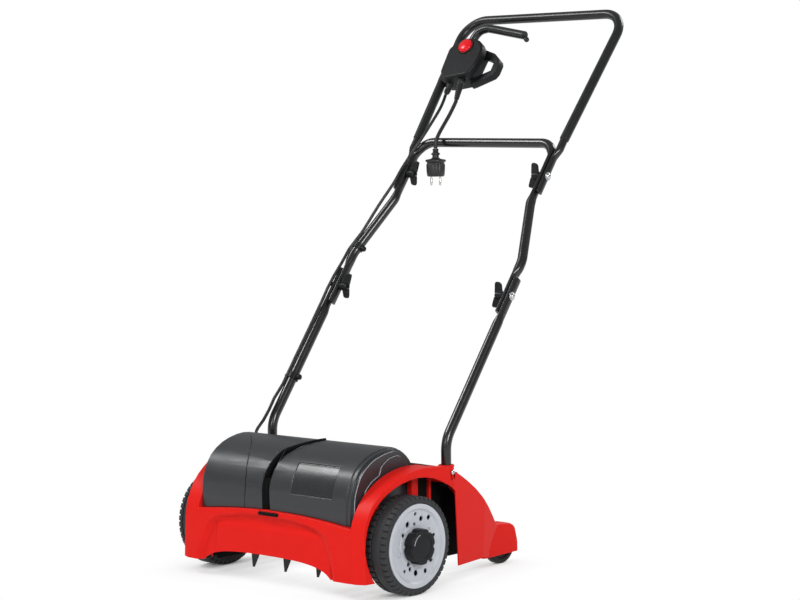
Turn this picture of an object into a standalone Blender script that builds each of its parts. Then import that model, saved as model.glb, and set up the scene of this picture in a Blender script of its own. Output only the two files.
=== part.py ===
"""Electric lawn scarifier with a three-part folding handle.

Metres, +Z up, front of the machine towards -Y, width along X. Positions in the
constants are measured from the front axle (y = 0) and the ground (z = 0). The root
empty then moves the whole machine so that the origin lies midway along its length.
"""
import math

import bmesh
import bpy
from mathutils import Matrix, Vector

# Clearances
GAP = 0.0003
RUN = 0.0004

# Walls
WALL = 0.0028
SIDE_WALL = 0.0030

# Widths: the hood sets the bay, and the bay sets the wheels, the drum and the rear
HOOD_HALF = 0.1955
HOOD_ROOM = 0.0045
BAY_HALF = HOOD_HALF + HOOD_ROOM
WELL_WALL = BAY_HALF + 0.0005
CHAMBER = BAY_HALF - 0.0360
FLAP_HALF = CHAMBER - 0.0155
WINDOW_HALF = FLAP_HALF + 0.0015
REAR_X = CHAMBER + 0.0185
LOWER_X = BAY_HALF + 0.0292

# Deck outline seen from the side, as (y, z) along its top, and its plan as (x, y)
DECK_BOTTOM = 0.031
DECK_SIDE = [(-0.1155, DECK_BOTTOM), (-0.1075, 0.105), (-0.1020, 0.1400), (-0.0820, 0.1740),
             (-0.0520, 0.1990), (-0.0150, 0.2175), (0.0300, 0.2280), (0.0750, 0.2285),
             (0.1200, 0.2215), (0.1600, 0.2000), (0.2050, 0.1690), (0.2500, 0.1280),
             (0.2850, 0.0850)]
DECK_REAR = 0.2850
DECK_PLAN = [(BAY_HALF + 0.0070, -0.1190), (BAY_HALF + 0.0320, -0.1070), (BAY_HALF + 0.0470, 0.0000),
             (BAY_HALF + 0.0470, 0.1400), (BAY_HALF + 0.0320, 0.2350), (BAY_HALF + 0.0130, DECK_REAR)]

# Apron: the arch along its foot, and the panel that is set back in it, as (x, z) from its middle
APRON_X = -0.0150
APRON_ARCH = (BAY_HALF - 0.0300, 0.0570)
PANEL = [(BAY_HALF - 0.0185, 0.0200), (BAY_HALF - 0.0190, 0.0400), (BAY_HALF - 0.0300, 0.0770),
         (BAY_HALF - 0.0440, 0.1080), (BAY_HALF - 0.0750, 0.1235), (0.0700, 0.1320), (0.0, 0.1345)]
PANEL_DEPTH = 0.0015

# Blade chamber and the drum in it
DRUM_Y = -0.0350
DRUM_Z = 0.0780
BLADE_TIP = 0.0635
BLADE_ROOT = 0.0150
BLADE_THICK = 0.0018
BLADE_COUNT = 8
BLADE_PITCH = 2 * (CHAMBER - 0.01525) / (BLADE_COUNT - 1)
BLADE_LEAN = 13.0
DRUM_SHAFT = 0.0080
SPACER = 0.0125
CHAMBER_ROOF = 0.0775
CHAMBER_END = 0.2830
BEARING = 0.0160
BEARING_WIDTH = 0.0090

# Belt drive at the left end
BELT_X = -(BAY_HALF - 0.0180)
BELT_WIDTH = 0.0120
BELT_THICK = 0.0030
MOTOR_PULLEY = 0.0120
DRUM_PULLEY = 0.0280
MOTOR_Y = 0.0300
MOTOR_Z = 0.2020
MOTOR = 0.0410
MOTOR_SHAFT = 0.0050
MOTOR_START = -0.0350

# Hood over the motor, outline as (y, z). Its front foot stands on an arched ledge.
HOOD_SEAT = 0.1290
LEDGE_RISE = 0.0125
LEDGE_BACK = -0.0870
HOOD_REAR = 0.0965
HOOD_SIDE = [(-0.0945, HOOD_SEAT + GAP), (-0.0930, 0.178), (-0.0860, 0.203), (-0.0700, 0.2285),
             (-0.0390, 0.2490), (0.0000, 0.2600), (0.0350, 0.2605), (0.0600, 0.2490),
             (0.0780, 0.2270), (0.0890, 0.1960), (HOOD_REAR, 0.1510)]
HOOD_STEPS = [(HOOD_HALF - 0.0165, 0.0), (HOOD_HALF - 0.0075, 0.0024), (HOOD_HALF, 0.0062)]
END_BOSS = 0.0016
END_BOSS_SIDE = [(-0.0665, 0.1500), (-0.0650, 0.1700), (-0.0600, 0.1930), (-0.0420, 0.2085),
                 (-0.0210, 0.2180), (-0.0150, 0.2310), (0.0070, 0.2435), (0.0310, 0.2470),
                 (0.0500, 0.2400), (0.0660, 0.2180), (0.0760, 0.1880), (0.0800, 0.1560)]
GROOVE = 0.0110
GROOVE_TAPER = 0.45
PLATE_X = (0.0360, 0.1420)
PLATE_Z = 0.1775
PLATE_BACK = -0.0645
PLATE_DEPTH = 0.0013
HOOD_FLOOR = 0.1535
BAY_REAR = HOOD_REAR + 0.0010
LATCH_X = (-0.0360, 0.0140)
LATCH_Z = (0.1325, 0.1390)
LATCH_BACK = -0.0990

# Wheels
WHEEL = 0.0920
WHEEL_INNER = WELL_WALL + SIDE_WALL + 0.0174
WHEEL_WIDTH = 0.0513
RIM = 0.0783
RIM_SEAT = 0.0742
TREAD_NOTCHES = 14
AXLE_PIN = 0.0060
AXLE_END = WHEEL_INNER + 0.0556
ECCENTRIC = 0.0120
JOURNAL = 0.0080
JOURNAL_START = WELL_WALL - 0.0080
WEB = 0.0200
WEB_THICK = 0.0100
KNOB = 0.0330
KNOB_FRONT = WHEEL_INNER + 0.0651
KNOB_BACK = WHEEL_INNER + 0.0463
KNOB_LOBES = 6
WELL_REAR = 0.1405
WELL_ARCH = [(-0.0836, DECK_BOTTOM), (-0.0960, 0.0530), (-0.1035, 0.0900), (-0.0940, 0.1350),
             (-0.0745, 0.1680), (-0.0455, 0.1915), (-0.0110, 0.2065), (0.0300, 0.2125),
             (0.0750, 0.2065), (0.1150, 0.1900), (WELL_REAR, 0.1740)]
INNER_WALL_END = 0.1100
WELL_RIBS = [(0.0520, 0.0700, 0.0085, 0.2268), (0.1040, INNER_WALL_END, 0.0060, 0.2226)]

HOOD_SIGHT = [(-0.0500, 0.1620), (-0.0230, 0.1900), (-0.0050, 0.2060), (0.0300, 0.2165),
              (0.0520, 0.2200), (0.0520, 0.1600)]

# Rear wheels in their pods
REAR_WHEEL = 0.0390
REAR_WIDTH = 0.0180
REAR_Y = 0.3435
REAR_PIN = 0.0040
POD_X = (REAR_X - 0.0170, REAR_X + 0.0165)
POD_CAVITY = REAR_WHEEL + 0.0022

# Rear flap
FLAP_HINGE_Y = 0.1880
FLAP_HINGE_Z = 0.1862
FLAP_THICK = 0.0026
FLAP_BARREL = 0.0042
FLAP_PIN = 0.0020
FLAP_LUG = 0.0060
WINDOW_FRONT = 0.1835

# Handle: a plane leaning back from the bend of the lower bars
LEAN = math.radians(36.4)
BEND_Y = 0.1315
BEND_Z = 0.2702
TUBE = 0.0097
TUBE_SIDES = 10
BEND_RADIUS = 0.0600
SOCKET = 0.0142
SOCKET_TOP = 0.2240
SOCKET_FOOT = 0.1840
SOCKET_SCREW = 0.2110
SHELF = 0.1970
LOWER_JOINT = 0.3234
UPPER_JOINT = 0.6042
JOINT_PLANE_LOW = LOWER_X - 0.0036
JOINT_PLANE_UP = 0.1850
FLAT_THICK = 0.0098
FLAT_WIDE = 0.0206
TOP_FLAT_THICK = 0.0086
TOP_FLAT_WIDE = 0.0170
FLAT_REACH = 0.0440
STUB = 0.0400
FLAT_BLEND = 0.0200
MIDDLE_X = LOWER_X - 0.0067
MIDDLE_BEND_LOW = 0.4040
MIDDLE_BAR = 0.6840
MIDDLE_BEND_UP = UPPER_JOINT - FLAT_REACH - FLAT_BLEND
MIDDLE_FLAT_UP = JOINT_PLANE_UP - GAP / 2 - FLAT_THICK / 2
MIDDLE_CORNER = 0.0380
CORE = 0.0080
SLEEVE_START = 0.6920
UPPER_X = JOINT_PLANE_UP + 0.0095
UPPER_TOP_X = UPPER_X + 0.0123
UPPER_BAR = 1.0080
UPPER_CORNER = 0.0520
BOLT = 0.0030
BOLT_HEAD = 0.0065
NUT_HUB = 0.0080

# Controls on the left leg. Their outlines are (across, along) in the handle plane, from a
# point beside the leg, and their depths are heights off that plane.
BOX_X = -UPPER_X + 0.0445
BOX_S = 0.8700
COVER_N = (0.0160, 0.0340)
COVER_FOOT = [(-0.0155, -0.0455), (0.0405, -0.0335)]
COVER = COVER_FOOT + [(0.0515, -0.0100), (0.0545, 0.0200), (0.0500, 0.0380), (0.0370, 0.0530), (0.0200, 0.0600),
                      (-0.0100, 0.0600), (-0.0278, 0.0490), (-0.0405, 0.0340), (-0.0355, -0.0270)]
BASE_N = (-0.0135, 0.0157)
BASE_FOOT = -0.0560
BASE_RIGHT = 0.0380
BASE = [(-0.0670, -0.0280), (-0.0580, -0.0410), (-0.0280, BASE_FOOT), (0.0000, BASE_FOOT), (0.0310, -0.0495),
        (BASE_RIGHT, -0.0420), (BASE_RIGHT, 0.0440), (0.0320, 0.0540), (0.0150, 0.0590), (-0.0540, 0.0590),
        (-0.0670, 0.0450)]
BOX_TOP = 0.0800
HOOK_N = 0.0080
HOOK_OUTER = [(-0.0430, 0.0), (-0.0400, 0.0080), (-0.0185, 0.0490), (-0.0080, 0.0540), (0.0145, 0.0530),
              (0.0230, 0.0480), (0.0370, 0.0300), (0.0445, 0.0080), (0.0470, 0.0)]
HOOK_BAND = 0.0155
BUTTON = (0.0055, 0.0380)
BUTTON_RADIUS = 0.0165
BUTTON_DEPTH = 0.0045
BUTTON_COLLAR = 0.0030
LEVER_PIVOT = (0.0000, 0.0280, 0.0110)
LEVER = 0.0066
LEVER_SLOT = 0.0105
RELIEF_X = 0.0183
RELIEF_N = 0.0165
RELIEF_LENGTH = 0.0480
GLAND = (-0.0160, 0.0075)
GLAND_LENGTH = 0.0090

# Leads. The plug hangs from the relief's end, and the motor cable follows the left bars, as
# (off the bar, along the handle, off the plane) or, below the bend, (off the bar, y, z).
CABLE = 0.0032
CORD = 0.0040
PLUG_DROP = (0.0016, -0.0703, -0.1029)
PLUG_LENGTH = 0.0575
PLUG_ROUTE = [(0.0, 0.0455, 0.0695), (0.0, 0.0285, 0.0505), (0.0, 0.0135, 0.0335), (0.0, 0.0020, 0.0175)]
CABLE_UPPER = [(0.0325, 0.7850, 0.0095), (0.0365, 0.7600, 0.0130), (0.0345, 0.7250, 0.0155), (0.0285, 0.6850, 0.0165),
               (0.0185, 0.6450, 0.0155), (0.0115, 0.6050, 0.0160)]
CABLE_MIDDLE = [(0.0355, 0.5700, 0.0155), (0.0215, 0.5150, 0.0140), (0.0095, 0.4550, 0.0120),
                (0.0031, 0.4338, 0.0118), (-0.0036, 0.4126, 0.0118), (-0.0055, 0.4030, 0.0120)]
CABLE_LOWER = [(0.0002, 0.3700, 0.0135), (-0.0028, 0.3234, 0.0160), (-0.0038, 0.2750, 0.0140),
               (-0.0053, 0.2000, 0.0125), (-0.0058, 0.1400, 0.0122), (-0.0060, 0.1180, 0.0118),
               (-0.0060, 0.0920, 0.0118), (-0.0058, 0.0750, 0.0122)]
CABLE_FOOT = [(-0.0056, 0.1435, 0.3150), (-0.0030, 0.1180, 0.2830), (0.0030, 0.0880, 0.2620)]

COLOURS = {
    "red": ((0.72, 0.018, 0.012), 0.32, 0.0),
    "hood_grey": ((0.035, 0.037, 0.040), 0.45, 0.0),
    "black": ((0.010, 0.010, 0.011), 0.5, 0.0),
    "tube_black": ((0.006, 0.006, 0.007), 0.18, 0.0),
    "satin_black": ((0.012, 0.012, 0.013), 0.55, 0.0),
    "rubber": ((0.018, 0.019, 0.019), 0.75, 0.0),
    "rim_grey": ((0.52, 0.54, 0.57), 0.4, 0.0),
    "steel": ((0.60, 0.60, 0.61), 0.28, 1.0),
    "button_red": ((0.80, 0.006, 0.010), 0.25, 0.0),
}


# Geometry helpers
def on_handle(x, s, n=0.0):
    """Point on the handle: x across, s along the plane from the bend, n off its front."""
    along = Vector((0.0, math.sin(LEAN), math.cos(LEAN)))
    front = Vector((0.0, -math.cos(LEAN), math.sin(LEAN)))
    return Vector((x, BEND_Y, BEND_Z)) + along * s + front * n


def handle_front():
    return Vector((0.0, -math.cos(LEAN), math.sin(LEAN)))


def smooth(points, steps):
    """Catmull-Rom curve through the points."""
    points = [Vector(p) for p in points]
    ends = [points[0] * 2 - points[1]] + points + [points[-1] * 2 - points[-2]]
    out = []
    for i in range(1, len(ends) - 2):
        a, b, c, d = ends[i - 1:i + 3]
        for k in range(steps):
            t = k / steps
            out.append(0.5 * (2 * b + (c - a) * t + (2 * a - 5 * b + 4 * c - d) * t * t
                              + (3 * b - a - 3 * c + d) * t * t * t))
    out.append(points[-1])
    return out


def arc(centre, radius, start, end, steps):
    """Points on a circle from start to end, in degrees."""
    angles = [math.radians(start + (end - start) * i / steps) for i in range(steps + 1)]
    return [(centre[0] + radius * math.cos(a), centre[1] + radius * math.sin(a)) for a in angles]


def inset(points, distance):
    """Moves an open outline to the right of its direction."""
    points = [Vector(p) for p in points]
    out = []
    for i, p in enumerate(points):
        before = (p - points[max(i - 1, 0)]).normalized() if i else None
        after = (points[min(i + 1, len(points) - 1)] - p).normalized() if i + 1 < len(points) else None
        sides = [Vector((v.y, -v.x)) for v in (before, after) if v is not None]
        side = sum(sides, Vector((0.0, 0.0))).normalized()
        out.append(p + side * distance / max(side.dot(sides[0]), 0.5))
    return out


def rounded(points, radii, steps):
    """Polyline whose inner corners are turned by arcs of the given radii."""
    points = [Vector(p) for p in points]
    out = [points[0]]
    for i in range(1, len(points) - 1):
        p, radius = points[i], radii[i]
        if radius == 0:
            out.append(p)
            continue
        u = (points[i - 1] - p).normalized()
        v = (points[i + 1] - p).normalized()
        half = u.angle(v) / 2
        reach = radius / math.tan(half)
        centre = p + (u + v).normalized() * radius / math.sin(half)
        start = p + u * reach - centre
        turn = math.pi - 2 * half
        axis = start.cross(p + v * reach - centre)
        for k in range(steps + 1):
            out.append(centre + Matrix.Rotation(turn * k / steps, 3, axis) @ start)
    out.append(points[-1])
    return out


def shrunk(outline, distance):
    """Closed outline moved inwards, so that a bevel brings it back to size."""
    points = [Vector(p) for p in outline]
    area = sum(a.x * b.y - b.x * a.y for a, b in zip(points, points[1:] + points[:1]))
    around = [points[-1]] + points + [points[0]]
    return inset(around, -distance if area > 0 else distance)[1:-1]


def bore_radius(radius, sides):
    """Radius of a faceted bore that clears a round pin."""
    return (radius + RUN) / math.cos(math.pi / sides)


# Object helpers
def clear_scene():
    for obj in list(bpy.data.objects):
        bpy.data.objects.remove(obj, do_unlink=True)


def make_collections():
    for name in ("lawn_scarifier", "cutters"):
        group = bpy.data.collections.new(name)
        bpy.context.scene.collection.children.link(group)
    root = bpy.data.objects.new("machine_frame", None)
    bpy.data.collections["lawn_scarifier"].objects.link(root)
    return root


def paint(obj, colour):
    base, roughness, metallic = COLOURS[colour]
    material = bpy.data.materials.new(obj.name)
    material.use_nodes = True
    shader = material.node_tree.nodes["Principled BSDF"]
    shader.inputs["Base Color"].default_value = (*base, 1.0)
    shader.inputs["Roughness"].default_value = roughness
    shader.inputs["Metallic"].default_value = metallic
    obj.data.materials.append(material)
    obj.color = (*base, 1.0)


def node(obj, colour, origin=None):
    """Puts a finished piece in the machine's collection, with its origin on its joint."""
    if origin is not None:
        obj.data.transform(Matrix.Translation(-Vector(origin)))
        obj.location = Vector(origin)
    obj.data.shade_smooth()
    obj.data.set_sharp_from_angle(angle=math.radians(35))
    paint(obj, colour)
    bpy.data.collections["lawn_scarifier"].objects.link(obj)
    obj.parent = bpy.data.objects["machine_frame"]
    return obj


def tool(obj):
    """Puts a cutter or a guide in its own collection."""
    obj.hide_render = True
    obj.display_type = 'WIRE'
    bpy.data.collections["cutters"].objects.link(obj)
    obj.parent = bpy.data.objects["machine_frame"]
    return obj


def from_bmesh(name, bm):
    bm.normal_update()
    bmesh.ops.recalc_face_normals(bm, faces=bm.faces[:])
    mesh = bpy.data.meshes.new(name)
    bm.to_mesh(mesh)
    bm.free()
    return bpy.data.objects.new(name, mesh)


def refresh(obj):
    """Turns the faces of a moved or mirrored mesh outwards again."""
    bm = bmesh.new()
    bm.from_mesh(obj.data)
    bm.normal_update()
    bmesh.ops.recalc_face_normals(bm, faces=bm.faces[:])
    bm.to_mesh(obj.data)
    bm.free()
    return obj


def from_curve(name, curve, matrix=None):
    """Turns a curve into a closed mesh object."""
    holder = bpy.data.objects.new(name, curve)
    bpy.context.scene.collection.objects.link(holder)
    depsgraph = bpy.context.evaluated_depsgraph_get()
    mesh = bpy.data.meshes.new_from_object(holder.evaluated_get(depsgraph))
    bpy.data.objects.remove(holder, do_unlink=True)
    bpy.data.curves.remove(curve)
    bm = bmesh.new()
    bm.from_mesh(mesh)
    bpy.data.meshes.remove(mesh)
    bmesh.ops.remove_doubles(bm, verts=bm.verts[:], dist=0.00001)
    if matrix is not None:
        bm.transform(matrix)
    return from_bmesh(name, bm)


def prism(name, outline, low, high, axis, bevel=0.0):
    """Flat outline drawn out along an axis. X takes (y, z), Y takes (x, z), Z takes (x, y)."""
    if bevel:
        outline = shrunk(outline, bevel)
    curve = bpy.data.curves.new(name, 'CURVE')
    curve.dimensions = '2D'
    curve.fill_mode = 'BOTH'
    curve.extrude = (high - low) / 2 - bevel
    curve.bevel_depth = bevel
    curve.bevel_resolution = 0
    spline = curve.splines.new('POLY')
    spline.points.add(len(outline) - 1)
    for point, (u, v) in zip(spline.points, outline):
        point.co = (u, v, 0.0, 1.0)
    spline.use_cyclic_u = True
    turn = {"X": ((0, 0, 1), (1, 0, 0), (0, 1, 0)),
            "Y": ((1, 0, 0), (0, 0, 1), (0, 1, 0)),
            "Z": ((1, 0, 0), (0, 1, 0), (0, 0, 1))}[axis]
    middle = Vector([row[2] for row in turn]) * (low + high) / 2
    return from_curve(name, curve, Matrix.Translation(middle) @ Matrix(turn).to_4x4())


def block(name, low, high, bevel=0.0):
    """Box between two corners."""
    low, high = Vector(low), Vector(high)
    bm = bmesh.new()
    bmesh.ops.create_cube(bm, size=1.0)
    bmesh.ops.scale(bm, vec=high - low, verts=bm.verts)
    bmesh.ops.translate(bm, vec=(low + high) / 2, verts=bm.verts)
    if bevel:
        bmesh.ops.bevel(bm, geom=bm.edges[:], offset=bevel, segments=2, affect='EDGES', profile=0.5)
    return from_bmesh(name, bm)


def rod(name, start, end, radius, sides, top_radius=None):
    """Round bar or cone between two points."""
    start, end = Vector(start), Vector(end)
    bm = bmesh.new()
    bmesh.ops.create_cone(bm, cap_ends=True, segments=sides, radius1=radius,
                          radius2=radius if top_radius is None else top_radius,
                          depth=(end - start).length)
    turn = (end - start).to_track_quat('Z', 'Y').to_matrix().to_4x4()
    bm.transform(Matrix.Translation((start + end) / 2) @ turn)
    return from_bmesh(name, bm)


def turned(name, profile, steps, base, outward):
    """Turned piece: profile of (radius, height), outer side from top to bottom.

    The height runs from base along outward, which is +1 or -1 along X, or a vector.
    A profile that starts and ends on the axis is a solid; any other is a closed ring.
    """
    mesh = bpy.data.meshes.new(name)
    closed = profile[0][0] > 0 or profile[-1][0] > 0
    edges = [(i, i + 1) for i in range(len(profile) - 1)]
    if closed:
        edges.append((len(profile) - 1, 0))
    mesh.from_pydata([(r, 0.0, h) for r, h in profile], edges, [])
    obj = bpy.data.objects.new(name, mesh)
    screw = obj.modifiers.new("Screw", 'SCREW')
    screw.steps = steps
    screw.render_steps = steps
    screw.use_merge_vertices = True
    screw.merge_threshold = 0.00001
    screw.use_normal_calculate = True
    bpy.context.scene.collection.objects.link(obj)
    depsgraph = bpy.context.evaluated_depsgraph_get()
    solid = bpy.data.meshes.new_from_object(obj.evaluated_get(depsgraph))
    bpy.data.objects.remove(obj, do_unlink=True)
    bpy.data.meshes.remove(mesh)
    direction = Vector((outward, 0, 0)) if isinstance(outward, (int, float)) else outward
    turn = direction.to_track_quat('Z', 'Y').to_matrix().to_4x4()
    bm = bmesh.new()
    bm.from_mesh(solid)
    bpy.data.meshes.remove(solid)
    bmesh.ops.remove_doubles(bm, verts=bm.verts[:], dist=0.00001)
    bm.transform(Matrix.Translation(Vector(base)) @ turn)
    return from_bmesh(name, bm)


def tube(name, points, radius, resolution):
    """Solid round cord along points."""
    curve = bpy.data.curves.new(name, 'CURVE')
    curve.dimensions = '3D'
    curve.bevel_depth = radius
    curve.bevel_resolution = resolution
    curve.use_fill_caps = True
    spline = curve.splines.new('POLY')
    spline.points.add(len(points) - 1)
    for point, p in zip(spline.points, points):
        point.co = (*p, 1.0)
    return from_curve(name, curve)


def swept(name, path, sizes, across, sides, wall=0.0):
    """Tube lofted along a path; sizes are half-axes (along path x across, along across).

    The section may change from round to flat. With a wall the tube is open at both ends.
    """
    bm = bmesh.new()
    layers = []
    for shrink in ([0.0, wall] if wall else [0.0]):
        rings = []
        for i, p in enumerate(path):
            before = path[max(i - 1, 0)]
            after = path[min(i + 1, len(path) - 1)]
            tangent = ((after - p).normalized() + (p - before).normalized()).normalized()
            side = tangent.cross(across).normalized()
            a, b = sizes[i][0] - shrink, sizes[i][1] - shrink
            ring = []
            for k in range(sides):
                t = 2 * math.pi * k / sides
                ring.append(bm.verts.new(p + side * a * math.cos(t) + across * b * math.sin(t)))
            rings.append(ring)
        layers.append(rings)
    for rings in layers:
        for low, high in zip(rings, rings[1:]):
            for k in range(sides):
                j = (k + 1) % sides
                bm.faces.new((low[k], low[j], high[j], high[k]))
    for end in (0, -1):
        if wall:
            for k in range(sides):
                j = (k + 1) % sides
                outer, inner = layers[0][end], layers[1][end]
                bm.faces.new((outer[k], outer[j], inner[j], inner[k]))
        else:
            bm.faces.new(layers[0][end])
    return from_bmesh(name, bm)


def combine(obj, others, operation):
    """Boolean of a piece with each of the others, which become tools."""
    for other in others:
        tool(other)
        modifier = obj.modifiers.new(operation.lower(), 'BOOLEAN')
        modifier.operation = operation
        modifier.object = other
        modifier.solver = 'EXACT'
    return obj


def cut(obj, *others):
    return combine(obj, others, 'DIFFERENCE')


def join(obj, *others):
    return combine(obj, others, 'UNION')


def merged(name, parts):
    """One mesh of several separate solids."""
    bm = bmesh.new()
    for part in parts:
        bm.from_mesh(part.data)
        bpy.data.objects.remove(part, do_unlink=True)
    return from_bmesh(name, bm)


def sides():
    return ((-1, "left"), (1, "right"))


# Deck
def deck_side(distance, floor):
    """Closed side outline of the deck, inset by a distance."""
    line = inset(smooth(DECK_SIDE, 2), distance)
    line[0].y = floor
    return line + [Vector((DECK_REAR - distance, floor))]


def deck_plan(distance):
    """Closed plan of the deck, inset by a distance. It runs on past the rear wall."""
    half = inset([Vector((x, y)) for x, y in reversed(DECK_PLAN)], distance)
    half[0].y = DECK_REAR + 0.03
    left = [Vector((-p.x, p.y)) for p in reversed(half)]
    return half + left


def bay_floor(drop):
    """Floor under the hood, from the front ledge over the round roof of the chamber."""
    crown = arc((DRUM_Y, DRUM_Z), CHAMBER_ROOF - drop, 132, 92, 6)
    return [(-0.14, HOOD_SEAT - drop), (crown[0][0] - 0.004, HOOD_SEAT - drop), *crown,
            (DRUM_Y + 0.012, HOOD_FLOOR - drop), (BAY_REAR + drop, HOOD_FLOOR - drop)]


def bay_outline(grow):
    """Recess that takes the hood, open to the front above the ledge."""
    return [(BAY_REAR + grow, 0.30), (-0.14, 0.30), *bay_floor(grow)]


def ledge_block(name, grow):
    """Arched ledge under the hood's front foot, seen from the front."""
    count = 12
    xs = [(BAY_HALF + 0.02) * (2 * i / count - 1) for i in range(count + 1)]
    line = [(x, HOOD_SEAT + grow + LEDGE_RISE * max(1 - (x / HOOD_HALF) ** 2, 0.0)) for x in xs]
    foot = HOOD_SEAT - 0.03
    return prism(name, [(xs[0], foot)] + line + [(xs[-1], foot)], -0.16, LEDGE_BACK + grow, "Y")


def deck_hollow():
    reach = BAY_HALF + 0.08
    hollow = prism("deck_hollow", deck_side(WALL, -0.02), -reach, reach, "X")
    combine(hollow, [prism("deck_inner_plan", deck_plan(WALL), -0.03, 0.30, "Z")], 'INTERSECT')
    keep = [prism("bay_wall", bay_outline(WALL), -BAY_HALF - SIDE_WALL, BAY_HALF + SIDE_WALL, "X")]
    for sign, side in sides():
        xs = sorted((sign * WELL_WALL, sign * (WELL_WALL + SIDE_WALL)))
        keep.append(block("side_wall_" + side, (xs[0], -0.2, -0.1), (xs[1], INNER_WALL_END, 0.4)))
        xs = sorted((sign * (CHAMBER - SIDE_WALL / 2), sign * (CHAMBER + SIDE_WALL / 2)))
        keep.append(block("chamber_wall_" + side, (xs[0], -0.2, -0.1), (xs[1], CHAMBER_END, 0.4)))
        xs = sorted((sign * (LOWER_X - 0.022), sign * reach))
        keep.append(block("socket_shelf_" + side, (xs[0], BEND_Y - 0.024, SHELF - SIDE_WALL),
                          (xs[1], BEND_Y + 0.024, SHELF + 0.004)))
    return cut(hollow, *keep)


def pod_outline():
    """Side outline of a rear wheel pod."""
    return [(0.262, 0.040), (0.298, 0.0270), (0.3865, 0.0275), (0.3885, 0.045), (0.3740, 0.0770),
            (0.3560, 0.0840), (0.3180, 0.0895), (0.262, 0.0895)]


def motor_saddle(name, x):
    body = block(name, (x - 0.003, MOTOR_Y - 0.030, HOOD_FLOOR - 0.002),
                 (x + 0.003, MOTOR_Y + 0.030, MOTOR_Z - 0.022))
    bore = rod(name + "_bore", (x - 0.01, MOTOR_Y, MOTOR_Z), (x + 0.01, MOTOR_Y, MOTOR_Z),
               bore_radius(MOTOR, 28), 28)
    return cut(body, bore)


def apron_panel():
    """Shallow layer off the apron's face, within the panel's outline."""
    right = [(APRON_X + x, z) for x, z in PANEL]
    left = [(APRON_X - x, z) for x, z in reversed(PANEL[:-1])]
    panel = prism("apron_panel", right + left, -0.16, -0.09, "Y")
    return cut(panel, prism("panel_floor", deck_side(PANEL_DEPTH, 0.0), -BAY_HALF - 0.08, BAY_HALF + 0.08, "X"))


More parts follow.
